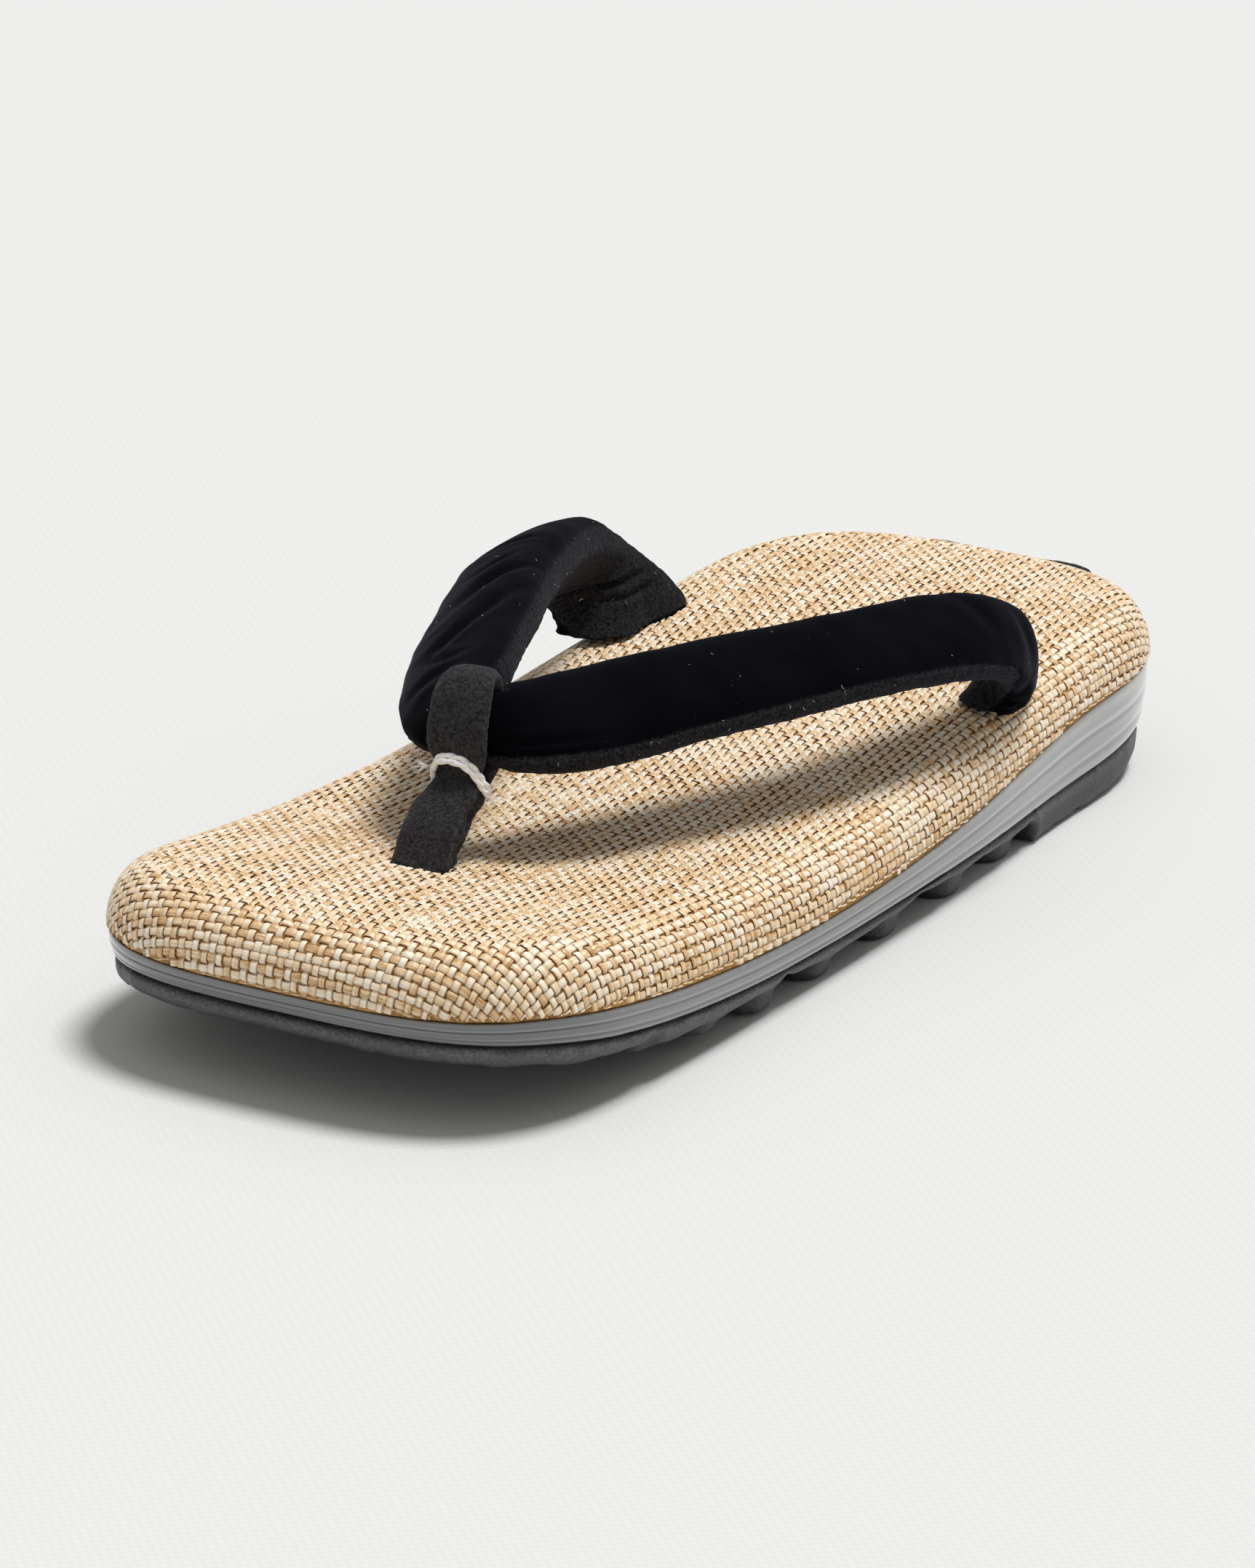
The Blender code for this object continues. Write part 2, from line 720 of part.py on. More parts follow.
def thong_cutter():
    """Slit for both layers of the thong, slanted as they are."""
    rows = thong_rows()
    low = (Vector(rows[0][:2]) + Vector(rows[-1][:2])) / 2
    high = (Vector(rows[LEG_ROWS // 2][:2]) + Vector(rows[-1 - LEG_ROWS // 2][:2])) / 2
    rise = (high - low).normalized()
    back = Vector((rise.y, -rise.x)) * (THONG_THICKNESS + THONG_FOLD + 2 * CLEARANCE)
    half_x = THONG_WIDTH / 2 + 2 * CLEARANCE
    rings = []
    for middle in (low - rise * 4 * CLEARANCE, low + rise * 2 * THONG_DEPTH):
        ring = []
        for side_x, side_b in ((-1, -1), (1, -1), (1, 1), (-1, 1)):
            station, height = middle + back * side_b
            ring.append(Vector((side_x * half_x, to_y(station), height)))
        rings.append(ring)
    return add_cutter("thong_slit", loft(rings, caps=True))


def build_upper():
    """The two padded straps, joined at the V, with the groove that the thong presses."""
    obj = add_object("upper", loft(strap_rings(1), caps=True), "upper")
    left = add_cutter("left_strap", loft(strap_rings(-1), caps=True))
    combine(obj, left, "UNION")
    groove = loft(thong_rings(CLEARANCE)[2 * LEG_ROWS - 2 : 2 - 2 * LEG_ROWS], caps=True)
    combine(obj, add_cutter("thong_groove", groove), "DIFFERENCE")
    return obj


def build_thong():
    return add_object("thong", loft(thong_rings(), caps=True), "thong")


def build_tie():
    """Thread round both layers of the thong, in one closed turn."""
    rows = thong_rows()
    front, rear = Vector(rows[LEG_ROWS - 1][:2]), Vector(rows[-LEG_ROWS][:2])
    back = (rear - front).normalized()
    rise = Vector((-back.y, back.x))
    middle = (front + rear) / 2 - rise * TIE_THICKNESS / 2
    reach = 2 * CLEARANCE + TIE_THICKNESS / 2
    half_x = rows[LEG_ROWS - 1][2] / 2 + reach
    half_b = (rear - front).length / 2 + THONG_THICKNESS / 2 + reach
    round_off = THONG_THICKNESS
    spine = []
    for corner_x, corner_b, start in ((1, 1, 0), (-1, 1, 90), (-1, -1, 180), (1, -1, 270)):
        for turn in (0, 30, 60, 90):
            angle = math.radians(start + turn)
            across = corner_x * (half_x - round_off) + round_off * math.cos(angle)
            behind = corner_b * (half_b - round_off) + round_off * math.sin(angle)
            spine.append((across, behind, 0.0))
        if start == 180:
            for share in (-0.5, 0.0, 0.5):
                arch = TIE_ARCH * (1 - share**2)
                push = TIE_ARCH_LEAN * arch
                spine.append((share * (half_x - round_off), -half_b - push, arch))
    sides = 8
    mesh = bmesh.new()
    rings = []
    for i, (across, behind, arch) in enumerate(spine):
        last, following = spine[i - 1], spine[(i + 1) % len(spine)]
        out = Vector((following[1] - last[1], last[0] - following[0])).normalized()
        ring = []
        for k in range(sides):
            angle = 2 * math.pi * k / sides
            push = TIE_THICKNESS / 2 * math.cos(angle)
            lift = TIE_THICKNESS / 2 * math.sin(angle) + arch
            station, height = middle + back * (behind + out.y * push) + rise * lift
            ring.append(mesh.verts.new((across + out.x * push, to_y(station), height)))
        rings.append(ring)
    for ring, following in zip(rings, rings[1:] + rings[:1]):
        for k in range(sides):
            m = (k + 1) % sides
            mesh.faces.new((ring[k], ring[m], following[m], following[k]))
    bmesh.ops.recalc_face_normals(mesh, faces=mesh.faces)
    return add_object("tie", mesh, "tie")


def build_heel_tab():
    """Small leaf that stands on the midsole's lip round the heel and leans outwards."""
    steps = 10
    foot = CLEARANCE + TAB_THICKNESS / 2
    rings = []
    for step in range(steps + 1):
        across = TAB_WIDTH * (step / steps - 0.5)
        low, high = FOOTBED_LENGTH - HEEL_ROUND, FOOTBED_LENGTH
        for _ in range(40):
            station = (low + high) / 2
            if half_width(station) > abs(across):
                low = station
            else:
                high = station
        full = 1 - abs(2 * step / steps - 1) ** 3
        size = TAB_END_SHARE + (1 - TAB_END_SHARE) * full
        base = seat_height(station) + CLEARANCE
        top = base + TAB_HEIGHT * size
        lean = TAB_LEAN * size
        ring = []
        for out, height in (
            (foot - TAB_THICKNESS / 2, base),
            (foot + TAB_THICKNESS / 2, base),
            (foot + lean + TAB_THICKNESS / 2, top),
            (foot + lean - TAB_THICKNESS / 2, top),
        ):
            ring.append(Vector((across, to_y(station + out), height)))
        rings.append(ring)
    return add_object("heel_tab", loft(rings, caps=True), "heel_tab")


def main():
    clear_scene()
    slits = [tail_cutter("right_slit", 1), tail_cutter("left_slit", -1), thong_cutter()]
    build_footbed(slits)
    build_midsole()
    build_outsole()
    build_upper()
    build_thong()
    build_tie()
    build_heel_tab()


main()
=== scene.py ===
import math

import bmesh
import bpy
import numpy as np
from mathutils import Matrix, Vector, noise
from mathutils.bvhtree import BVHTree
from mathutils.kdtree import KDTree


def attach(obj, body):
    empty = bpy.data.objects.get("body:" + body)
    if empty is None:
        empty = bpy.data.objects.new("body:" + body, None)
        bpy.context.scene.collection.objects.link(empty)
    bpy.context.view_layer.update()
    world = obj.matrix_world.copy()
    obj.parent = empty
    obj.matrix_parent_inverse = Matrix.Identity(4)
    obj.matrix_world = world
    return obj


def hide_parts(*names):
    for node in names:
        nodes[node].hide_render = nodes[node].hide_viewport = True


# Dressed zori sandal. The toe points to -Y, and "station" is the distance from the toe.
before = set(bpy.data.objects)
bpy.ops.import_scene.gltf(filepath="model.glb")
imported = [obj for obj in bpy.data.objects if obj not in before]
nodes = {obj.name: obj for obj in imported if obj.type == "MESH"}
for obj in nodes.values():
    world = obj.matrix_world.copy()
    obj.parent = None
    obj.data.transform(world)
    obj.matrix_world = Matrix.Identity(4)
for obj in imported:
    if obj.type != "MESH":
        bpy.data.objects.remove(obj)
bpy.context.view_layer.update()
bpy.ops.object.select_all(action="DESELECT")
scene = bpy.context.scene
mm = 0.001


# Forms that several pieces share

soleForm = {
    "length": 0.265,
    "width": 0.101,
    "middle": 0.135,
    "toeRound": 0.044,
    "toeSquareness": 3.3,
    "heelRound": 0.053,
    "heelSquareness": 2.8,
    "tread": 0.0075,
    "toeSpring": 0.0095,
    "heelSpring": 0.0035,
    "front": 0.0061,
    "wedge": 0.0076,
    "rise": 0.0109,  # footbed above the lip
    "crown": 0.0009,
    "edge": 0.0089,  # how far the rounded edge reaches in
    "edgeSquareness": 2.1,
    "plan": (  # station, half width
        (0.00, 0.937),
        (0.20, 0.992),
        (0.40, 1.000),
        (0.60, 0.985),
        (0.80, 0.925),
        (1.00, 0.960),
    ),
    "sideView": (  # station, toe spring, heel spring, front, wedge
        (0.00, 1.00, 0.00, 0.68, 0.00),
        (0.06, 0.84, 0.00, 0.86, 0.00),
        (0.12, 0.58, 0.00, 0.97, 0.00),
        (0.20, 0.29, 0.00, 1.00, 0.00),
        (0.30, 0.08, 0.00, 1.00, 0.00),
        (0.40, 0.00, 0.00, 1.00, 0.01),
        (0.50, 0.00, 0.00, 1.00, 0.12),
        (0.60, 0.00, 0.00, 1.00, 0.39),
        (0.72, 0.00, 0.00, 1.00, 0.80),
        (0.82, 0.00, 0.21, 1.00, 1.00),
        (0.92, 0.00, 0.63, 1.00, 0.90),
        (1.00, 0.00, 1.00, 1.00, 0.74),
    ),
}


def smoothRow(table, at, column):
    # value of a column on a smooth curve through the rows
    stations = [row[0] for row in table]
    values = [row[column] for row in table]
    at = min(max(at, stations[0]), stations[-1])
    last = len(stations) - 2
    i = 0
    while i < last and at > stations[i + 1]:
        i += 1

    def slope(k):
        low, high = max(k - 1, 0), min(k + 1, last + 1)
        return (values[high] - values[low]) / (stations[high] - stations[low])

    span = stations[i + 1] - stations[i]
    t = (at - stations[i]) / span
    value = values[i] * (2 * t**3 - 3 * t**2 + 1) + values[i + 1] * (3 * t**2 - 2 * t**3)
    value += slope(i) * span * (t**3 - 2 * t**2 + t)
    return value + slope(i + 1) * span * (t**3 - t**2)


def halfWidth(station):
    form = soleForm
    station = min(max(station, 0.0), form["length"])
    half = smoothRow(form["plan"], station / form["length"], 1) * form["width"] / 2
    heelStart = form["length"] - form["heelRound"]
    for depth, reach, power in (
        (form["toeRound"] - station, form["toeRound"], form["toeSquareness"]),
        (station - heelStart, form["heelRound"], form["heelSquareness"]),
    ):
        if depth > 0:
            half *= max(1 - (depth / reach) ** power, 0.0) ** (1 / power)
    return half


def treadHeight(station):
    form, share = soleForm, station / soleForm["length"]
    height = form["tread"] + form["toeSpring"] * smoothRow(form["sideView"], share, 1)
    return height + form["heelSpring"] * smoothRow(form["sideView"], share, 2)


def seatHeight(station):
    form, share = soleForm, station / soleForm["length"]
    height = treadHeight(station) + form["front"] * smoothRow(form["sideView"], share, 3)
    return height + form["wedge"] * smoothRow(form["sideView"], share, 4)


def footbedTop(station):
    return seatHeight(station) + soleForm["rise"] + soleForm["crown"]


def planOutline(count):
    # closed outline with even steps: x, station, outward normal x, normal station, arc
    dense = 1600
    turn = np.linspace(0, math.pi, dense + 1)
    stations = soleForm["length"] * (1 - np.cos(turn)) / 2
    widths = np.array([halfWidth(s) for s in stations])
    widths[0] = widths[-1] = 0.0
    x = np.concatenate([widths, -widths[-2:0:-1]])
    s = np.concatenate([stations, stations[-2:0:-1]])
    steps = np.hypot(np.diff(np.append(x, x[0])), np.diff(np.append(s, s[0])))
    arc = np.concatenate([[0.0], np.cumsum(steps)])
    total = arc[-1]

    def place(at):
        at = np.mod(at, total)
        return np.interp(at, arc, np.append(x, x[0])), np.interp(at, arc, np.append(s, s[0]))

    at = np.linspace(0, total, count, endpoint=False)
    reach = 0.0012
    aheadX, aheadS = place(at + reach)
    behindX, behindS = place(at - reach)
    runX, runS = aheadX - behindX, aheadS - behindS
    size = np.hypot(runX, runS)
    x, s = place(at)
    return np.stack([x, s, runS / size, -runX / size, at], 1), total


def heightTable(heightOf):
    # a height function as a fast lookup over the length
    stations = np.linspace(-0.002, soleForm["length"] + 0.002, 600)
    heights = np.array([heightOf(min(max(s, 0.0), soleForm["length"])) for s in stations])
    return lambda s: np.interp(s, stations, heights)


seatAt = heightTable(seatHeight)
treadAt = heightTable(treadHeight)


# Helpers for meshes


def faceOutward(piece, join=0.0):
    # faces turned outward, once points closer than join are one
    mesh = bmesh.new()
    mesh.from_mesh(piece.data)
    if join:
        bmesh.ops.remove_doubles(mesh, verts=mesh.verts, dist=join)
    bmesh.ops.recalc_face_normals(mesh, faces=mesh.faces)
    mesh.to_mesh(piece.data)
    mesh.free()


def meshPiece(name, points, faces):
    data = bpy.data.meshes.new(name)
    data.from_pydata([tuple(p) for p in points], [], faces)
    data.update()
    piece = bpy.data.objects.new(name, data)
    scene.collection.objects.link(piece)
    data.shade_smooth()
    return piece


def copyNode(node, name):
    # a copy of a CAD node as one joined surface
    piece = nodes[node].copy()
    piece.data = nodes[node].data.copy()
    piece.name = piece.data.name = name
    for key in list(piece.keys()):
        del piece[key]
    piece.parent = None
    piece.hide_render = piece.hide_viewport = False
    scene.collection.objects.link(piece)
    faceOutward(piece, 1e-5)
    piece.data.materials.clear()
    return piece


def makeActive(piece):
    bpy.ops.object.select_all(action="DESELECT")
    piece.select_set(True)
    bpy.context.view_layer.objects.active = piece


def remesh(piece, voxel, smoothing):
    # even quads over a copy of a CAD solid, then relaxed
    makeActive(piece)
    modifier = piece.modifiers.new("remesh", "REMESH")
    modifier.mode = "VOXEL"
    modifier.voxel_size = voxel
    bpy.ops.object.modifier_apply(modifier=modifier.name)
    bpy.ops.object.mode_set(mode="EDIT")
    bpy.ops.mesh.select_all(action="SELECT")
    bpy.ops.mesh.vertices_smooth(factor=0.5, repeat=smoothing)
    bpy.ops.object.mode_set(mode="OBJECT")
    bpy.ops.object.shade_smooth()


def subdivide(piece, levels=1):
    makeActive(piece)
    modifier = piece.modifiers.new("subdivide", "SUBSURF")
    modifier.levels = modifier.render_levels = levels
    bpy.ops.object.modifier_apply(modifier=modifier.name)


def meshPoints(piece):
    points = np.zeros(len(piece.data.vertices) * 3)
    piece.data.vertices.foreach_get("co", points)
    return points.reshape(-1, 3)


def meshNormals(piece):
    normals = np.zeros(len(piece.data.vertices) * 3, np.float32)
    piece.data.vertex_normals.foreach_get("vector", normals)
    return normals.reshape(-1, 3).astype(float)


def setPoints(piece, points):
    piece.data.vertices.foreach_set("co", points.ravel())
    piece.data.update()


def setShare(piece, name, values):
    # one number at each point, for a material to read
    attribute = piece.data.attributes.new(name, "FLOAT", "POINT")
    attribute.data.foreach_set("value", np.asarray(values, np.float32))


def softNoise(points, size, seed):
    # smooth noise from about -1 to 1, with features of the given size
    shift = Vector((seed * 3.1, seed * 1.7, seed * 2.3))
    return np.array([noise.noise(Vector(p) / size + shift) for p in points]) * 1.6


def waves(points, table):
    # sum of soft noises, with a row of size, seed and depth for each
    return sum(softNoise(points, size, seed) * depth for size, seed, depth in table)


def softStep(low, high, values):
    t = np.clip((values - low) / (high - low), 0, 1)
    return t * t * (3 - 2 * t)


def seat(piece, slotName, *replaced):
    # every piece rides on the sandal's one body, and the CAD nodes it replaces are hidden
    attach(piece, "root")
    for node in replaced:
        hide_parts(node)


# Helpers for materials


def addNode(tree, kind, inputs=(), **settings):
    made = tree.nodes.new("ShaderNode" + kind)
    for key, value in settings.items():
        setattr(made, key, value)
    for key, value in dict(inputs).items():
        if isinstance(value, bpy.types.NodeSocket):
            tree.links.new(value, made.inputs[key])
        else:
            made.inputs[key].default_value = value
    return made


def maths(tree, operation, first, second=0.5, third=0.5):
    return addNode(tree, "Math", {0: first, 1: second, 2: third}, operation=operation).outputs[0]


def cloud(tree, place, scale, detail=2.0):
    inputs = {"Vector": place, "Scale": scale, "Detail": detail}
    return addNode(tree, "TexNoise", inputs).outputs["Fac"]


def remap(tree, value, low, high, start=0.0, end=1.0):
    inputs = {"Value": value, "From Min": low, "From Max": high, "To Min": start, "To Max": end}
    return addNode(tree, "MapRange", inputs).outputs[0]


def specks(tree, place, scale):
    # small dots in the middle of scattered cells
    cells = addNode(tree, "TexVoronoi", {"Vector": place, "Scale": scale})
    return remap(tree, cells.outputs["Distance"], 0.1, 0.04)


def greys(tree, factor, low, high):
    # two stops, each a place and a grey
    return ramp(tree, factor, tuple((place, (value,) * 3) for place, value in (low, high)))


def ramp(tree, factor, stops):
    made = addNode(tree, "ValToRGB", {"Fac": factor})
    elements = made.color_ramp.elements
    for i, (place, colour) in enumerate(stops):
        element = elements[i] if i < 2 else elements.new(place)
        element.position = place
        element.color = (*colour, 1)
    return made.outputs["Color"]


def blend(tree, factor, first, second, mode="MIX"):
    made = addNode(tree, "Mix", data_type="RGBA", blend_type=mode)
    for socket, value in ((made.inputs[0], factor), (made.inputs[6], first), (made.inputs[7], second)):
        if isinstance(value, bpy.types.NodeSocket):
            tree.links.new(value, socket)
        else:
            socket.default_value = value if isinstance(value, float) else (*value, 1)
    return made.outputs[2]


def newGroup(name, inputs, outputs):
    tree = bpy.data.node_groups.new(name, "ShaderNodeTree")
    for label, kind, value in inputs:
        made = tree.interface.new_socket(label, in_out="INPUT", socket_type="NodeSocket" + kind)
        if value is not None:
            made.default_value = value
    for label, kind in outputs:
        tree.interface.new_socket(label, in_out="OUTPUT", socket_type="NodeSocket" + kind)
    return tree, tree.nodes.new("NodeGroupInput").outputs, tree.nodes.new("NodeGroupOutput").inputs


def useGroup(tree, group, inputs):
    made = tree.nodes.new("ShaderNodeGroup")
    made.node_tree = group
    for key, value in inputs.items():
        if isinstance(value, bpy.types.NodeSocket):
            tree.links.new(value, made.inputs[key])
        else:
            made.inputs[key].default_value = value
    return made.outputs


def newMaterial(name, **values):
    made = bpy.data.materials.new(name)
    made.use_nodes = True
    shader = made.node_tree.nodes["Principled BSDF"]
    for key, value in values.items():
        shader.inputs[key.replace("_", " ")].default_value = value
    return made, made.node_tree, shader


def objectPlace(tree):
    return addNode(tree, "TexCoord").outputs["Object"]


def readShare(tree, name):
    return addNode(tree, "Attribute", attribute_name=name).outputs["Fac"]


def bump(tree, shader, height, distance, strength=1.0):
    made = addNode(tree, "Bump", {"Height": height, "Distance": distance, "Strength": strength})
    tree.links.new(made.outputs[0], shader.inputs["Normal"])


def plug(tree, source, shader, name):
    tree.links.new(source, shader.inputs[name])


# Shared effects


def buildFibreGroup():
    # streaks along a strip: place in millimetres, x along and y across
    tree, given, result = newGroup(
        "strip fibres",
        (("Place", "Vector", None), ("Along", "Float", 0.3), ("Across", "Float", 6.0)),
        (("Streak", "Float"), ("Mottle", "Float")),
    )
    parts = addNode(tree, "SeparateXYZ", {0: given["Place"]}).outputs
    along = maths(tree, "MULTIPLY", parts[0], given["Along"])
    across = maths(tree, "MULTIPLY", parts[1], given["Across"])
    fine = addNode(tree, "CombineXYZ", {0: along, 1: across, 2: parts[2]}).outputs[0]
    slow = maths(tree, "MULTIPLY", parts[0], 0.16)
    broad = addNode(tree, "CombineXYZ", {0: slow, 1: parts[1], 2: parts[2]}).outputs[0]
    tree.links.new(cloud(tree, fine, 1.0, 3.0), result["Streak"])
    tree.links.new(cloud(tree, broad, 0.9), result["Mottle"])
    return tree


def buildNapGroup():
    # short pile: clumps that lean different ways, and fine grains
    tree, given, result = newGroup(
        "pile",
        (("Place", "Vector", None), ("Clump", "Float", 700.0), ("Grain", "Float", 2600.0)),
        (("Height", "Float"), ("Shade", "Float")),
    )
    clump = cloud(tree, given["Place"], given["Clump"], 4.0)
    grain = cloud(tree, given["Place"], given["Grain"])
    both = maths(tree, "MULTIPLY", clump, 0.7)
    height = maths(tree, "MULTIPLY_ADD", grain, 0.3, both)
    tree.links.new(height, result["Height"])
    tree.links.new(remap(tree, height, 0.35, 0.65), result["Shade"])
    return tree


def buildGrainGroup():
    # moulded rubber: fine grain, a slow cloudiness and a few specks of dust
    tree, given, result = newGroup(
        "moulded grain",
        (("Place", "Vector", None), ("Grain", "Float", 1800.0), ("Cloud", "Float", 60.0)),
        (("Height", "Float"), ("Cloud", "Float"), ("Dust", "Float")),
    )
    place = given["Place"]
    tree.links.new(cloud(tree, place, given["Grain"], 3.0), result["Height"])
    tree.links.new(cloud(tree, place, given["Cloud"], 4.0), result["Cloud"])
    tree.links.new(specks(tree, place, 420.0), result["Dust"])
    return tree


def buildClothGroup():
    # plain weave of round threads, over and under
    tree, given, result = newGroup(
        "plain weave",
        (("Place", "Vector", None), ("Threads", "Float", 1200.0)),
        (("Height", "Float"),),
    )
    half = (math.pi,) * 3  # a thread is half a wave wide
    place = addNode(tree, "VectorMath", {0: given["Place"], 1: half}, operation="MULTIPLY")
    parts = addNode(tree, "SeparateXYZ", {0: place.outputs[0]}).outputs
    sides = []
    for axis in (0, 1):
        turn = maths(tree, "MULTIPLY", parts[axis], given["Threads"])
        sides.append(maths(tree, "SINE", turn))
    height = maths(tree, "MULTIPLY_ADD", maths(tree, "MULTIPLY", sides[0], sides[1]), 0.5, 0.5)
    tree.links.new(height, result["Height"])
    return tree


fibreGroup = buildFibreGroup()
napGroup = buildNapGroup()
grainGroup = buildGrainGroup()
clothGroup = buildClothGroup()


# Woven cover: flat straw strips over and under each other, folded down over the edge

weaveForm = {
    "pitch": 0.00172,
    "width": 0.76,  # share of the pitch
    "lift": 0.00036,
    "wave": 0.00027,
    "edgeDrop": 0.00015,
    "along": (-0.33, 0.33),  # places on each crossing, in shares of the pitch
    "across": (-0.5, -0.30, 0.30, 0.5),
    "wander": 0.085,
    "lengthwiseHighlight": 0.20,  # painted highlight: the lengthwise strips are painted paler
    "crestLightAndShade": 0.26,  # and painted light and shade: each strip is paler where it passes over, darker where it dips
    "slitDepth": 0.0012,
    "backingLift": 0.00013,
    "darkStraw": (0.53, 0.295, 0.115),
    "midStraw": (0.90, 0.65, 0.375),
    "paleStraw": (1.0, 0.93, 0.78),
    # colour of the painted shade at each strip's edges
    "gap": (0.42, 0.19, 0.045),
}


class Cover:
    # flat sheet coordinates over the footbed, which go down round its edge

    def __init__(self):
        form = soleForm
        outline, _ = planOutline(4200)
        self.outline = outline
        self.inner = outline[:, :2] - outline[:, 2:4] * form["edge"]
        self.tree = KDTree(len(outline))
        for i, (x, s) in enumerate(self.inner):
            self.tree.insert((x, s, 0), i)
        self.tree.balance()
        power = 2 / form["edgeSquareness"]
        angle = np.linspace(math.pi / 2, 0, 200)
        cosine, sine = np.cos(angle).clip(0, 1), np.sin(angle).clip(0, 1)
        self.inset = form["edge"] * (1 - cosine**power)
        self.rise = form["rise"] * sine**power
        steps = np.hypot(np.diff(self.inset), np.diff(self.rise))
        self.arc = np.concatenate([[0.0], np.cumsum(steps)])
        self.reach = self.arc[-1]
        stations = np.linspace(form["toeRound"], form["length"] - form["heelRound"], 200)
        halves = np.array([halfWidth(s) for s in stations]) - form["edge"]
        self.spine = lambda s: np.interp(s, stations, halves)

    def fold(self, u, v):
        # surface points and outward normals of flat points, and how far down the edge they are
        near = np.array([self.tree.find((a, b, 0))[1] for a, b in zip(u, v)])
        base, normal = self.inner[near], self.outline[near, 2:4]
        tangent = np.stack([-normal[:, 1], normal[:, 0]], 1)
        away = np.stack([u, v], 1) - base
        down = (away * normal).sum(1)
        base = base + tangent * (away * tangent).sum(1)[:, None]
        inside = down <= 0
        arc = np.clip(down, 0, self.reach)
        inset = np.interp(arc, self.arc, self.inset)
        rise = np.interp(arc, self.arc, self.rise)
        out = soleForm["edge"] - inset
        x = np.where(inside, u, base[:, 0] + normal[:, 0] * out)
        s = np.where(inside, v, base[:, 1] + normal[:, 1] * out)
        share = 1 + np.minimum(down, 0) / self.spine(v)
        crown = soleForm["crown"] * np.where(inside, 1 - share.clip(0, 1) ** 2, 0)
        rim = base[:, 1] + normal[:, 1] * soleForm["edge"]
        z = np.where(inside, seatAt(s), seatAt(rim)) + rise + crown
        step = 0.0002
        ahead, behind = (np.clip(arc + way, 0, self.reach) for way in (step, -step))
        fall, push = (
            np.interp(behind, self.arc, curve) - np.interp(ahead, self.arc, curve)
            for curve in (self.rise, self.inset)
        )
        size = np.hypot(fall, push)
        size[size == 0] = 1
        outShare = np.where(inside, 0, fall / size)
        upShare = np.where(inside, 1, push / size)
        face = np.stack([normal[:, 0] * outShare, normal[:, 1] * outShare, upShare], 1)
        face /= np.linalg.norm(face, axis=1)[:, None]
        return np.stack([x, s - soleForm["middle"], z], 1), face, down


def meshTree(piece):
    data = piece.data
    corners = [v.co.copy() for v in data.vertices]
    return BVHTree.FromPolygons(corners, [tuple(p.vertices) for p in data.polygons])


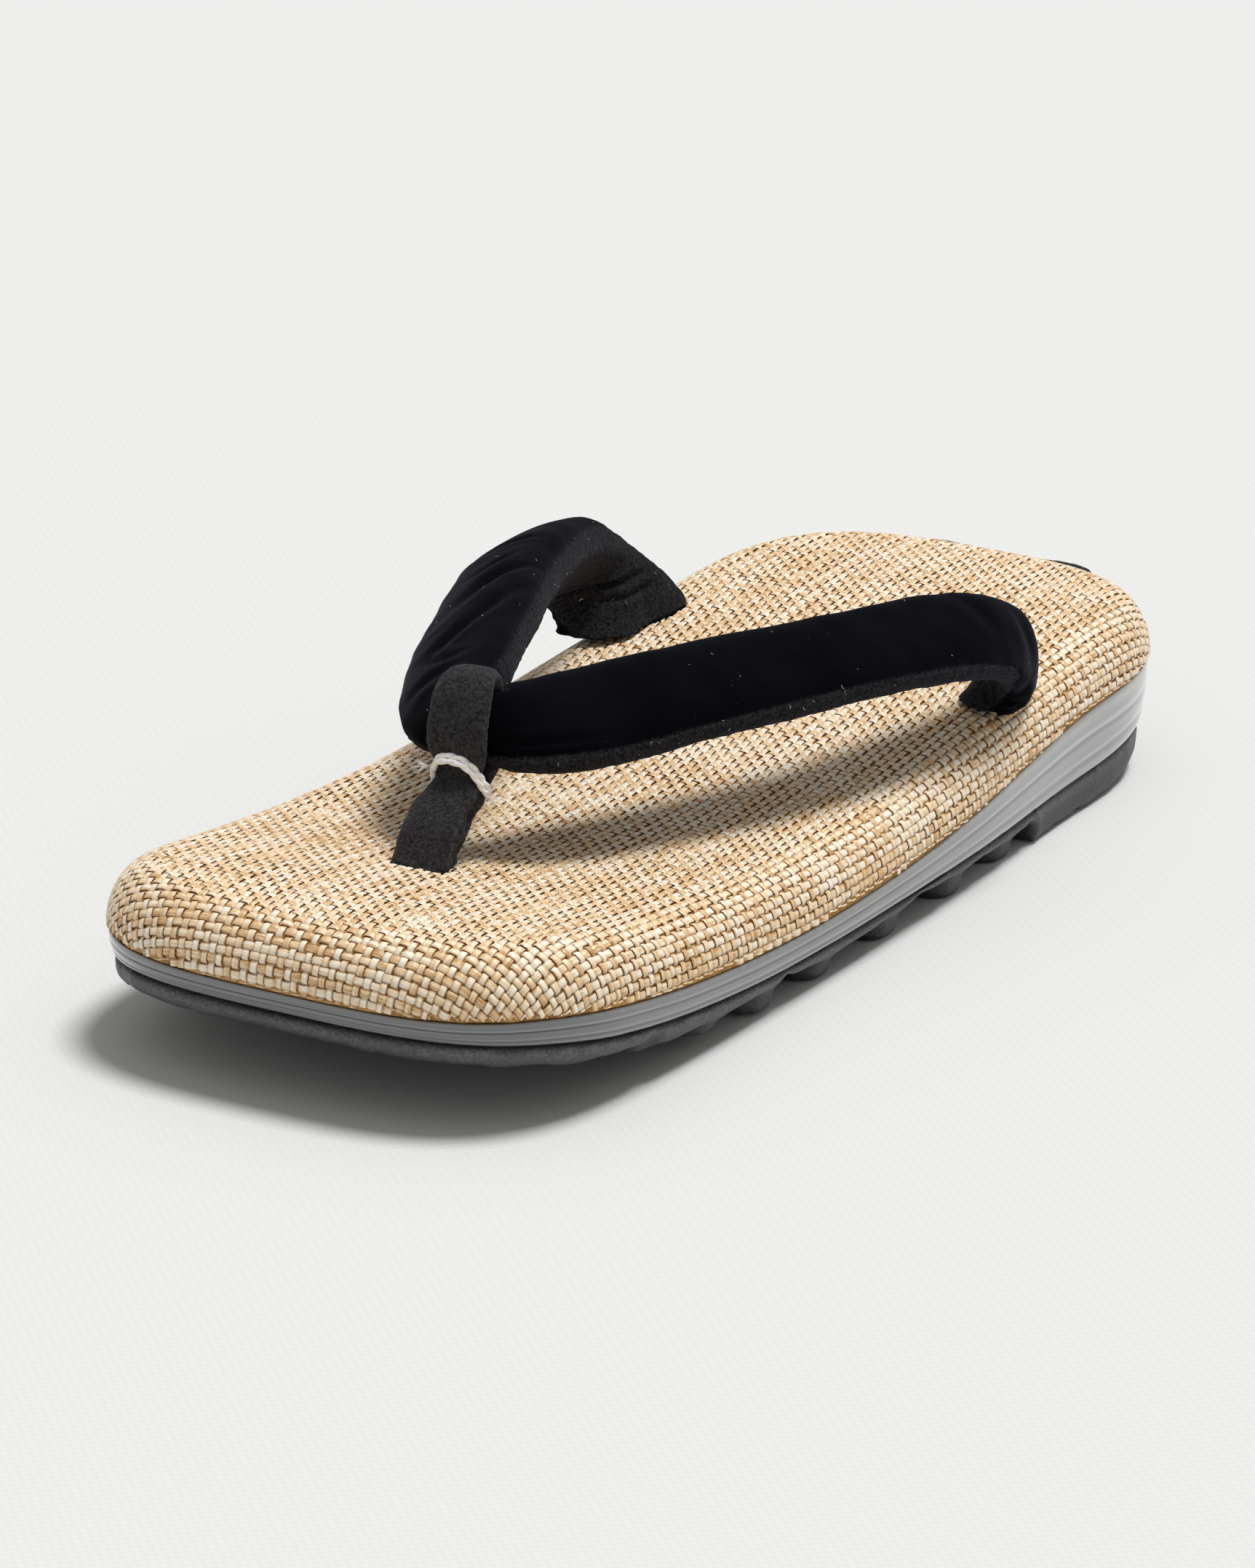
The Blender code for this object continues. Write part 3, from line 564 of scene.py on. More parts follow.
def weaveStrips(cover, lengthwise, seed, thong):
    # all strips of one direction as one mesh
    form = weaveForm
    pitch = form["pitch"]
    random = np.random.default_rng(seed)
    halfSpan = soleForm["width"] / 2 + cover.reach - soleForm["edge"] + pitch
    spans = ((-halfSpan, halfSpan), (-cover.reach, soleForm["length"] + cover.reach))
    low, high = (spans[0], spans[1]) if lengthwise else (spans[1], spans[0])
    strips = range(math.floor(low[0] / pitch), math.ceil(low[1] / pitch) + 1)
    crossings = range(math.floor(high[0] / pitch), math.ceil(high[1] / pitch) + 1)
    flat = []
    for strip in strips:
        toneAndLight, width = random.random() * 0.85, 1 + random.uniform(-0.09, 0.09)
        toneAndLight += form["lengthwiseHighlight"] * lengthwise
        phase = random.uniform(0, 2 * math.pi)
        cells = np.array([c + a for c in crossings for a in form["along"]])
        parity = np.array([1 if (c + strip) % 2 == lengthwise else -1 for c in crossings])
        up = np.repeat(parity, len(form["along"])) * 1.0
        sway = np.sin(cells * 0.21 + phase) + 0.6 * np.sin(cells * 0.07 + phase * 2)
        middle = (strip + form["wander"] * sway) * pitch
        narrow = width * (1 + 0.05 * np.sin(cells * 0.53 + phase * 3))
        for k, across in enumerate(form["across"]):
            side = middle + across * form["width"] * narrow * pitch
            drop = form["edgeDrop"] if k in (0, len(form["across"]) - 1) else 0.0
            height = form["lift"] + form["wave"] * up - drop
            # random straw tone, plus painted light and shade: paler lengthwise strips and crests,
            # darker dips
            shade = toneAndLight + form["crestLightAndShade"] * (up - 0.2) * (1.3 if lengthwise else 0.7)
            flat.append((cells * pitch, side, height, shade, across))
    count = len(flat[0][0])
    along, side, height, toneAndLight = (np.concatenate([row[k] for row in flat]) for k in range(4))
    # share across each strip, which sets the painted shade at its edges
    edge = np.repeat([abs(row[4]) * 2 for row in flat], count)
    u, v = (side, along) if lengthwise else (along, side)
    points, face, down = cover.fold(u, v)
    points = points + face * height[:, None]
    keep = (down < cover.reach - 0.0001) & (points[:, 2] > 0)
    rays, *solids = [meshTree(piece) for piece in (nodes["footbed"], nodes["upper"], thong)]
    top = np.where(down <= 0)[0]
    for i in top:  # cut away where the straps and the thong go in
        start = Vector((points[i, 0], points[i, 1], 0.1))
        hit = rays.ray_cast(start, Vector((0, 0, -1)))[0]
        if hit is None or hit.z < points[i, 2] - form["slitDepth"]:
            place = Vector(points[i])
            for solid in solids:
                near, out, _, _ = solid.find_nearest(place)
                if (place - near).dot(out) < 0:
                    keep[i] = False
    faces = []
    width = len(form["across"])
    for strip in range(len(strips)):
        for k in range(width - 1):
            first = (strip * width + k) * count
            second = first + count
            good = keep[first : first + count] & keep[second : second + count]
            for i in np.where(good[:-1] & good[1:])[0]:
                quad = (first + i, first + i + 1, second + i + 1, second + i)
                faces.append(tuple(int(q) for q in (quad[::-1] if lengthwise else quad)))
    used = np.zeros(len(points), bool)
    used[np.unique(np.array(faces))] = True
    order = np.cumsum(used) - 1
    faces = [tuple(int(order[i]) for i in quad) for quad in faces]
    name = "woven_strips_lengthwise" if lengthwise else "woven_strips_crosswise"
    piece = meshPiece(name, points[used], faces)
    setShare(piece, "toneAndLight", toneAndLight[used])
    setShare(piece, "edge", edge[used])
    layer = piece.data.uv_layers.new(name="strip")
    places = np.stack([along[used] / mm, side[used] / mm], 1)
    loops = np.zeros(len(piece.data.loops), np.int32)
    piece.data.loops.foreach_get("vertex_index", loops)
    layer.data.foreach_set("uv", places[loops].ravel())
    return piece


def strawMaterial():
    form = weaveForm
    made, tree, shader = newMaterial("woven straw", Roughness=0.4, Specular_IOR_Level=0.75)
    shader.inputs["Specular Tint"].default_value = (1.0, 0.93, 0.80, 1)
    place = addNode(tree, "UVMap", uv_map="strip").outputs[0]
    fibres = useGroup(tree, fibreGroup, {"Place": place, "Along": 0.30, "Across": 4.2})
    toneAndLight, edge = readShare(tree, "toneAndLight"), readShare(tree, "edge")
    mix = maths(tree, "MULTIPLY_ADD", toneAndLight, 0.48, maths(tree, "MULTIPLY", fibres["Mottle"], 1.35))
    mix = maths(tree, "MULTIPLY_ADD", fibres["Streak"], 1.15, maths(tree, "SUBTRACT", mix, 0.96))
    stops = (0.12, form["darkStraw"]), (0.85, form["paleStraw"]), (0.48, form["midStraw"])
    # painted shade: each strip darkens towards its edges into the gap colour, for the shade between
    # strips
    rim = remap(tree, edge, 0.55, 1.0, 0.0, 0.66)
    colour = blend(tree, rim, ramp(tree, mix, stops), form["gap"])
    plug(tree, colour, shader, "Base Color")
    plug(tree, remap(tree, fibres["Streak"], 0.3, 0.7, 0.48, 0.26), shader, "Roughness")
    bump(tree, shader, fibres["Streak"], 0.00012, 0.8)
    return made


def backingMaterial():
    form = weaveForm
    made, tree, shader = newMaterial("straw backing", Roughness=0.9, Specular_IOR_Level=0.05)
    nap = useGroup(tree, napGroup, {"Place": objectPlace(tree), "Clump": 500.0, "Grain": 1500.0})
    colour = ramp(tree, nap["Shade"], ((0.0, (0.30, 0.15, 0.045)), (1.0, (0.60, 0.34, 0.12))))
    plug(tree, colour, shader, "Base Color")
    bump(tree, shader, nap["Height"], 0.0003)
    return made


def buildFootbed(thong):
    pad = copyNode("footbed", "footbed_pad")
    setPoints(pad, meshPoints(pad) + meshNormals(pad) * weaveForm["backingLift"])
    makeActive(pad)
    bpy.ops.object.shade_smooth_by_angle(angle=math.radians(50))
    pad.data.materials.append(backingMaterial())
    seat(pad, "footbed", "footbed")
    cover = Cover()
    straw = strawMaterial()
    for lengthwise, seed in ((True, 11), (False, 12)):
        piece = weaveStrips(cover, lengthwise, seed, thong)
        piece.data.materials.append(straw)
        seat(piece, "footbed")
        print("weave:", piece.name, len(piece.data.polygons) * 2, "triangles")


# Midsole: clear grey plastic with fine ribs that run round the sole

midsoleForm = {
    "gap": 0.0003,
    "tuck": 0.0010,
    "lipWall": 0.0008,
    "lipDepth": 0.0006,
    "lipRound": 0.0003,
    "bulge": 0.0010,
    "steps": 420,
    "side": (  # height, bulge
        (0.00, -1.20),
        (0.03, -0.98),
        (0.07, -0.76),
        (0.13, -0.58),
        (0.20, -0.48),
        (0.235, -0.56),
        (0.27, -0.50),
        (0.32, -0.32),
        (0.40, -0.18),
        (0.48, -0.08),
        (0.54, -0.06),
        (0.575, -0.20),
        (0.61, -0.16),
        (0.66, 0.04),
        (0.74, 0.12),
        (0.82, 0.14),
        (0.88, 0.10),
        (0.92, 0.04),
    ),
    "pale": (0.72, 0.73, 0.72),
    "lipShadeAndReflection": (0.24, 0.20, 0.15),
}


def buildMidsole():
    form = midsoleForm
    outline, total = planOutline(form["steps"])
    x, s, normalX, normalS, at = outline.T
    tread, lip = treadAt(s), seatAt(s)
    inside = form["gap"] - form["tuck"]
    wall = inside + form["lipWall"]
    rings, rises = [], []

    def ring(outset, height, rise):
        y = s + normalS * outset - soleForm["middle"]
        rings.append(np.stack([x + normalX * outset, y, height], 1))
        rises.append(rise)

    spineS = np.clip(s, soleForm["toeRound"], soleForm["length"] - soleForm["heelRound"])

    def drawnIn(outset, share, height, rise):
        innerX = (x + normalX * outset) * share
        innerS = spineS + (s + normalS * outset - spineS) * share
        rings.append(np.stack([innerX, innerS - soleForm["middle"], height(innerS)], 1))
        rises.append(rise)

    for share in (0.02, 0.6):
        drawnIn(-form["bulge"], share, treadAt, 0.0)
    for height, bulge in form["side"]:
        ring(wall + form["bulge"] * bulge, tread + (lip - tread) * height, height)
    top = lip - form["gap"]
    ring(wall, top - form["lipRound"], 0.96)
    ring(wall - form["lipRound"] * 0.3, top - form["lipRound"] * 0.3, 0.98)
    ring(wall - form["lipRound"], top, 1.0)
    ring(inside + form["lipRound"], top, 1.0)
    ring(inside, top - form["lipRound"], 0.99)
    ring(inside, lip - form["lipDepth"], 0.9)
    for share in (0.55, 0.02):
        drawnIn(inside, share, lambda at: seatAt(at) - form["lipDepth"], 0.9)
    count = len(x)
    faces = []
    for row in range(len(rings) - 1):
        for i in range(count):
            j = (i + 1) % count
            low, high = row * count, (row + 1) * count
            faces.append((low + i, low + j, high + j, high + i))
    faces.append(tuple(range(count))[::-1])
    faces.append(tuple(range((len(rings) - 1) * count, len(rings) * count)))
    piece = meshPiece("midsole_cup", np.concatenate(rings), faces)
    faceOutward(piece)
    piece.data.set_sharp_from_angle(angle=math.radians(60))
    setShare(piece, "rise", np.repeat(rises, count))
    setShare(piece, "round", np.tile(at / total, len(rings)))
    piece.data.materials.append(plasticMaterial())
    seat(piece, "midsole", "midsole")
    print("midsole:", len(piece.data.polygons), "faces")


def plasticMaterial():
    form = midsoleForm
    made, tree, shader = newMaterial(
        "clear grey plastic",
        Roughness=0.14,
        Specular_IOR_Level=0.6,
        Coat_Weight=0.9,
        Coat_Roughness=0.04,
    )
    rise, around = readShare(tree, "rise"), readShare(tree, "round")
    turn = maths(tree, "MULTIPLY", around, 2 * math.pi)
    ringX = maths(tree, "MULTIPLY", maths(tree, "COSINE", turn), 5.0)
    ringY = maths(tree, "MULTIPLY", maths(tree, "SINE", turn), 5.0)
    level = maths(tree, "MULTIPLY", rise, 9.0)
    place = addNode(tree, "CombineXYZ", {0: ringX, 1: ringY, 2: level}).outputs[0]
    swayed = maths(tree, "MULTIPLY_ADD", cloud(tree, place, 0.6), 0.10, rise)
    swayed = maths(tree, "SUBTRACT", swayed, 0.05)
    # the plastic's own greys, with pale bands just above the grooves that are painted reflections
    # along the ribs
    bandsAndReflections = ramp(
        tree,
        swayed,
        (
            (0.0, (0.10, 0.105, 0.11)),
            (1.0, (0.06, 0.055, 0.05)),
            (0.10, (0.24, 0.245, 0.25)),
            (0.22, (0.14, 0.145, 0.15)),
            (0.27, (0.36, 0.36, 0.36)),
            (0.33, (0.19, 0.20, 0.205)),
            (0.50, (0.25, 0.26, 0.265)),
            (0.56, (0.16, 0.165, 0.17)),
            (0.61, (0.42, 0.43, 0.435)),
            (0.70, (0.20, 0.21, 0.215)),
            (0.86, (0.33, 0.335, 0.33)),
            (0.93, (0.27, 0.25, 0.215)),
        ),
    )
    fine = cloud(tree, place, 1.5, 2.5)
    streaks = ramp(tree, fine, ((0.30, (0.90, 0.90, 0.89)), (0.70, (1.08, 1.08, 1.09))))
    colour = blend(tree, 1.0, bandsAndReflections, streaks, "MULTIPLY")
    # the lip is painted: a dark, uneven line of painted shade and brown reflection, with a few painted
    # glints
    glintMask = remap(tree, cloud(tree, place, 9.0), 0.62, 0.70)
    lipColour = blend(tree, glintMask, form["lipShadeAndReflection"], form["pale"])
    colour = blend(tree, remap(tree, swayed, 0.93, 0.97), colour, lipColour)
    # painted light and shade: darker over the front, paler towards the heel where the gloss catches
    # the light
    back = addNode(tree, "SeparateXYZ", {0: objectPlace(tree)}).outputs[1]
    heel = remap(tree, back, -0.04, 0.125, 0.58, 1.45)
    shade = addNode(tree, "CombineColor", {i: heel for i in range(3)}).outputs[0]
    colour = blend(tree, 1.0, colour, shade, "MULTIPLY")
    plug(tree, colour, shader, "Base Color")
    bump(tree, shader, fine, 0.00025, 0.35)
    return made


# Outsole: the CAD solid with softened edges, in grainy rubber

rubberForm = {"voxel": 0.0008, "smoothing": 9, "low": 0.004, "high": 0.001}


def buildOutsole():
    form = rubberForm
    piece = copyNode("outsole", "moulded_outsole")
    remesh(piece, form["voxel"], form["smoothing"])
    points = meshPoints(piece)
    # upper share: 1 along the top of the outsole and 0 lower down, for the painted light and shade
    below = treadAt(points[:, 1] + soleForm["middle"]) - points[:, 2]
    setShare(piece, "upper", softStep(form["low"], form["high"], below))
    piece.data.materials.append(rubberMaterial())
    seat(piece, "outsole", "outsole")
    print("outsole:", len(piece.data.polygons), "faces")


def rubberMaterial():
    made, tree, shader = newMaterial("grainy rubber", Roughness=0.48, Specular_IOR_Level=0.5)
    place = objectPlace(tree)
    grain = useGroup(tree, grainGroup, {"Place": place, "Grain": 1500.0, "Cloud": 45.0})
    colour = ramp(
        tree, grain["Cloud"], ((0.30, (0.040, 0.042, 0.046)), (0.72, (0.075, 0.077, 0.082)))
    )
    light = greys(tree, grain["Height"], (0.35, 0.75), (0.70, 1.5))
    colour = blend(tree, 1.0, colour, light, "MULTIPLY")
    # painted highlight along the upper edge and painted shade lower down; the dust specks are kept to
    # the upper part too
    upper = readShare(tree, "upper")
    high = greys(tree, upper, (0.0, 0.45), (1.0, 1.35))
    colour = blend(tree, 1.0, colour, high, "MULTIPLY")
    colour = blend(tree, maths(tree, "MULTIPLY", grain["Dust"], upper), colour, (0.16, 0.155, 0.15))
    plug(tree, colour, shader, "Base Color")
    bump(tree, shader, grain["Height"], 0.00035, 0.7)
    return made


# Straps: velvet outside, fleece inside and along one edge, joined at the V

strapForm = {
    "vamp": 0.0570,
    "run": 0.1345,
    "slitOffset": 0.0395,
    "height": 0.0300,
    "thickness": 0.0088,
    "leftLift": 0.0020,
    "liftRows": 6.5,
    "liftInner": 0.3,
    "leftPuff": 0.0040,
    "puffRows": 9.0,
    "frames": 260,
    "voxel": 0.00100,
    "smoothing": 5,
    "waves": ((0.016, 3, 0.00022), (0.006, 5, 0.00009)),
    "clump": (0.0013, 9, 0.00010),
    "rails": (  # inner: out, back, up; outer: out, back, up; thickness
        (-0.08, 0.044, 1.00, -0.08, 0.028, 0.66, 0.50),
        (0.00, 0.050, 1.05, 0.00, 0.030, 0.61, 0.73),
        (0.06, 0.126, 1.00, 0.26, 0.032, 0.57, 0.90),
        (0.14, 0.205, 1.00, 0.50, 0.100, 0.60, 1.00),
        (0.30, 0.320, 1.01, 0.73, 0.245, 0.67, 1.00),
        (0.50, 0.468, 1.00, 0.94, 0.400, 0.69, 1.00),
        (0.71, 0.617, 0.95, 1.15, 0.558, 0.67, 1.00),
        (0.88, 0.766, 0.87, 1.27, 0.705, 0.57, 1.00),
        (0.99, 0.872, 0.75, 1.32, 0.798, 0.43, 1.00),
        (1.04, 0.955, 0.56, 1.29, 0.855, 0.27, 1.02),
        (1.01, 1.018, 0.32, 1.19, 0.886, 0.12, 1.06),
        (0.95, 1.055, 0.10, 1.09, 0.902, 0.00, 1.10),
        (0.91, 1.070, -0.08, 1.05, 0.905, -0.12, 1.12),
    ),
    # creases: side, then rail row and share across at the start, middle and end,
    # then depth and width in mm; a negative depth is a ridge
    "creases": (
        (-1, 3.45, 0.61, 3.85, 0.44, 5.00, 0.03, 0.85, 1.5),
        (-1, 3.90, 0.72, 4.30, 0.56, 5.25, 0.16, -0.45, 2.2),
        (-1, 4.60, 0.57, 5.20, 0.35, 5.50, 0.08, 0.80, 1.4),
        (-1, 5.00, 0.66, 5.35, 0.50, 5.85, 0.20, -0.35, 2.0),
        (-1, 5.35, 0.59, 5.60, 0.45, 5.85, 0.28, 0.60, 1.3),
        (-1, 3.45, 0.74, 3.15, 0.52, 3.00, 0.30, 0.55, 1.4),
        (-1, 2.60, 0.86, 2.75, 0.60, 2.60, 0.34, 0.45, 1.5),
        (-1, 6.10, 0.70, 6.30, 0.45, 6.35, 0.15, 0.45, 1.5),
        (-1, 9.35, 0.58, 9.60, 0.46, 9.90, 0.14, 1.10, 1.2),
        (-1, 8.70, 0.80, 9.10, 0.60, 9.60, 0.50, 0.80, 1.3),
        (-1, 10.0, 0.75, 10.3, 0.50, 10.4, 0.25, 0.80, 1.2),
        (1, 1.45, 0.80, 2.20, 0.80, 3.30, 0.85, 0.50, 0.8),
        (1, 1.55, 0.92, 2.20, 0.91, 3.10, 0.95, 0.45, 0.7),
        (1, 1.90, 0.30, 2.10, 0.50, 2.00, 0.74, 0.25, 1.2),
        (1, 7.30, 0.10, 7.60, 0.35, 7.70, 0.62, 0.30, 2.2),
        (1, 8.50, 0.20, 8.75, 0.50, 8.85, 0.85, 0.45, 2.0),
        (1, 9.40, 0.15, 9.55, 0.50, 9.50, 0.90, 0.50, 1.7),
        (1, 9.00, 0.85, 9.60, 0.93, 10.3, 0.96, 0.45, 1.4),
    ),
    "seamDepth": 0.00035,
    # the tails flare where they meet the footbed, most towards the toe
    "tailCentre": (0.0412, 0.0520),
    "flareHeight": {1: 0.0075, -1: 0.0150},
    "flare": {1: (0.0010, 0.0046), -1: (0.0010, 0.0075)},
    "ragged": 0.0009,
    "fleeceEdge": (0.900, 0.942),  # where across the right strap the fleece strip begins
}


def swell(at, length):
    return math.sin(math.pi * min(max(at / length, 0.0), 1.0))


def strapFrames(side):
    # inner and outer rail points, thickness and rail row along a strap
    form = strapForm
    rows = [(i, *row) for i, row in enumerate(form["rails"])]
    frames = []
    for at in np.linspace(0, len(rows) - 1, form["frames"]):
        row = [smoothRow(rows, at, column + 1) for column in range(7)]
        lift = puff = 0.0
        if side < 0:
            lift = form["leftLift"] * swell(at - 1, form["liftRows"])
            puff = form["leftPuff"] * swell(at - 1, form["puffRows"])
        ends = []
        for out, back, up, share in ((*row[0:3], 0.0), (*row[3:6], 1.0)):
            station = form["vamp"] + back * form["run"]
            height = footbedTop(station) + up * form["height"]
            height += lift * max(share, form["liftInner"])
            y = station - soleForm["middle"]
            ends.append((side * out * form["slitOffset"], y, height))
        frames.append((*ends[0], *ends[1], row[6] * form["thickness"] + puff, at))
    return np.array(frames)


def strapPlaces(points):
    # for each point: side, rail row, share across and signed distance off the middle sheet
    best = np.full(len(points), 1e9)
    result = np.zeros((len(points), 4))
    for side in (1, -1):
        frames = strapFrames(side)
        inner, outer, row = frames[:, 0:3], frames[:, 3:6], frames[:, 7]
        middle = (inner + outer) / 2
        run = np.gradient(middle, axis=0)
        width = outer - inner
        normal = np.cross(width, run) * side
        normal /= np.linalg.norm(normal, axis=1)[:, None]
        length = (width**2).sum(1)
        for i in range(len(frames)):
            away = points - inner[i]
            share = (away @ width[i]) / length[i]
            held = share.clip(-0.02, 1.02)
            gap = np.linalg.norm(away - held[:, None] * width[i], axis=1)
            better = gap < best
            best[better] = gap[better]
            result[better, 0] = side
            result[better, 1] = row[i]
            result[better, 2] = share[better]
            result[better, 3] = (away[better] @ normal[i])
    return result


def creaseDistance(places, crease):
    # distance in mm from points of the strap to one crease, over its middle sheet
    side, *stops, depth, width = crease
    frames = strapFrames(side)
    middle = (frames[:, 0:3] + frames[:, 3:6]) / 2
    arc = np.concatenate([[0], np.cumsum(np.linalg.norm(np.diff(middle, axis=0), axis=1))])
    across = np.linalg.norm(frames[:, 3:6] - frames[:, 0:3], axis=1)
    along = np.interp(places[:, 1], frames[:, 7], arc) / mm
    over = places[:, 2] * np.interp(places[:, 1], frames[:, 7], across) / mm
    rows, shares = stops[0::2], stops[1::2]
    t = np.linspace(0, 1, 17)

    def bend(start, middle, end):
        # even curve that passes the middle stop halfway
        pull = 2 * middle - (start + end) / 2
        return (1 - t) ** 2 * start + 2 * t * (1 - t) * pull + t**2 * end

    pathRow, pathShare = bend(*rows), bend(*shares)
    pathAlong = np.interp(pathRow, frames[:, 7], arc) / mm
    pathOver = pathShare * np.interp(pathRow, frames[:, 7], across) / mm
    nearest = np.full(len(places), 1e9)
    fade = np.zeros(len(places))
    for k in range(len(t) - 1):
        runAlong, runOver = pathAlong[k + 1] - pathAlong[k], pathOver[k + 1] - pathOver[k]
        aheadAlong, aheadOver = along - pathAlong[k], over - pathOver[k]
        held = (aheadAlong * runAlong + aheadOver * runOver) / (runAlong**2 + runOver**2)
        held = held.clip(0, 1)
        gap = np.hypot(aheadAlong - held * runAlong, aheadOver - held * runOver)
        closer = gap < nearest
        nearest[closer] = gap[closer]
        way = t[k] + held[closer] * t[1]
        fade[closer] = np.sin(math.pi * (0.06 + 0.88 * way))
    nearest[places[:, 0] != side] = 1e9
    return nearest, fade


def buildStraps():
    form = strapForm
    piece = copyNode("upper", "velvet_straps")
    remesh(piece, form["voxel"], form["smoothing"])
    subdivide(piece)
    points, normals = meshPoints(piece), meshNormals(piece)
    places = strapPlaces(points)
    outward = softStep(-0.0005, 0.0012, places[:, 3])
    move = np.zeros(len(points))
    for crease in form["creases"]:
        nearest, fade = creaseDistance(places, crease)
        depth, width = crease[-2], crease[-1]
        trough = np.exp(-((nearest / width) ** 2))
        shoulder = np.exp(-(((nearest - 2.0 * width) / (1.1 * width)) ** 2))
        face = outward if crease[1] < 8.2 else 1.0
        move -= depth * mm * fade * (trough - 0.35 * shoulder) * face
    move += waves(points, form["waves"])
    side, row, share = places[:, 0], places[:, 1], places[:, 2]
    folded, clear = form["fleeceEdge"]
    edge = folded + (clear - folded) * softStep(1.8, 3.8, row) + 0.10 * softStep(8.0, 9.4, row)
    rightEdge = softStep(-0.013, 0.013, share - edge - 0.006 * np.sin(row * 2))
    leftEdge = (1 - softStep(0.01, 0.04, share)) * softStep(0.0022, 0.0010, places[:, 3])
    free = softStep(1.9, 2.6, row)
    fleece = np.where(side > 0, rightEdge, leftEdge * free)
    inside = softStep(0.0002, -0.0012, places[:, 3])
    inside *= np.where(points[:, 2] > 0.048, softStep(2.0, 3.0, row), 1.0)
    fleece = np.maximum(fleece, inside)
    seam = np.exp(-(((fleece - 0.5) / 0.25) ** 2)) * (row > 1.2)
    move -= form["seamDepth"] * seam
    move += waves(points, [form["clump"]]) * fleece
    moved = points + normals * move[:, None]
    above = moved[:, 2] - np.array([footbedTop(y + soleForm["middle"]) for y in moved[:, 1]])
    centre = np.array([form["tailCentre"]]) * np.stack([side, np.ones(len(side))], 1)
    away = moved[:, 0:2] - centre
    away /= np.linalg.norm(away, axis=1)[:, None]
    near = (row > 7.6) * (above > 0.0003)
    toeward = np.clip(-away[:, 1], 0, 1) ** 2
    low, high, height = (
        np.where(side > 0, right, left)
        for right, left in (*zip(*form["flare"].values()), form["flareHeight"].values())
    )
    flare = near * (1 - np.clip(above / height, 0, 1)) ** 1.6
    reach = low + (high - low) * toeward
    reach = reach + form["ragged"] * softNoise(moved, 0.0022, 12) * toeward
    moved[:, 0:2] += away * (flare * reach)[:, None]
    setPoints(piece, moved)
    setShare(piece, "fleece", fleece)
    piece.data.materials.append(velvetMaterial())
    seat(piece, "upper", "upper")
    print("straps:", len(piece.data.polygons), "faces")
    return piece, fleece


def velvetMaterial():
    made, tree, shader = newMaterial(
        "black velvet and fleece",
        Roughness=0.5,
        Specular_IOR_Level=0.012,
        Sheen_Weight=0.085,
        Sheen_Roughness=0.42,
        Sheen_Tint=(0.60, 0.64, 0.82, 1),
    )
    place = objectPlace(tree)
    fleece = readShare(tree, "fleece")
    velvet = useGroup(tree, napGroup, {"Place": place, "Clump": 900.0, "Grain": 3800.0})
    pile = useGroup(tree, napGroup, {"Place": place, "Clump": 1700.0, "Grain": 5200.0})
    lays = (0.35, (0.0008, 0.0008, 0.0014)), (0.68, (0.0022, 0.0022, 0.0036))
    lay = ramp(tree, cloud(tree, place, 55.0, 3.0), lays)
    nap = ramp(tree, pile["Shade"], ((0.0, (0.003, 0.003, 0.0036)), (1.0, (0.030, 0.029, 0.032))))
    colour = blend(tree, fleece, lay, nap)
    rare = remap(tree, cloud(tree, place, 160.0), 0.60, 0.72)
    mask = maths(tree, "MULTIPLY", specks(tree, place, 900.0), rare)
    colour = blend(tree, maths(tree, "MULTIPLY", mask, 0.5), colour, (0.20, 0.20, 0.21))
    plug(tree, colour, shader, "Base Color")
    faint = maths(tree, "MULTIPLY", velvet["Height"], 0.10)
    height = addNode(tree, "Mix", {0: fleece, 2: faint, 3: pile["Height"]})
    plug(tree, remap(tree, fleece, 0.0, 1.0, 0.80, 0.95), shader, "Roughness")
    bump(tree, shader, height.outputs[0], 0.00045, 0.8)
    return made


# Thong: fleece strip over the V, and the thread that ties it


def fleeceMaterial():
    made, tree, shader = newMaterial(
        "charcoal fleece",
        Roughness=0.95,
        Specular_IOR_Level=0.1,
        Sheen_Weight=0.12,
        Sheen_Roughness=0.5,
        Sheen_Tint=(0.8, 0.8, 0.85, 1),
    )
    place = objectPlace(tree)
    pile = useGroup(tree, napGroup, {"Place": place, "Clump": 1700.0, "Grain": 5200.0})
    colour = ramp(tree, pile["Shade"], ((0.0, (0.0055, 0.0055, 0.0062)), (1.0, (0.050, 0.048, 0.052))))
    plug(tree, colour, shader, "Base Color")
    bump(tree, shader, pile["Height"], 0.0007, 1.0)
    return made


thongForm = {
    "voxel": 0.00045,
    "smoothing": 16,
    "station": 0.047,  # where it goes in
    "raggedFrom": (0.0030, 0.0004),  # heights above the footbed
    "ragged": (0.0017, 6, 0.00045),
    "waves": ((0.0042, 2, 0.00020), (0.0010, 4, 0.00009)),
    "legs": 0.008,  # farthest that a leg is from the tie, front or back
    "pinchHeight": 0.0020,
    "pinch": (0.07, 0.10),  # shares of width and depth drawn in at the tie
    "base": (0.10, 0.25),  # and near the footbed, the width at the right only
    "foldWidth": 0.0006,
    "fold": 0.0009,
}


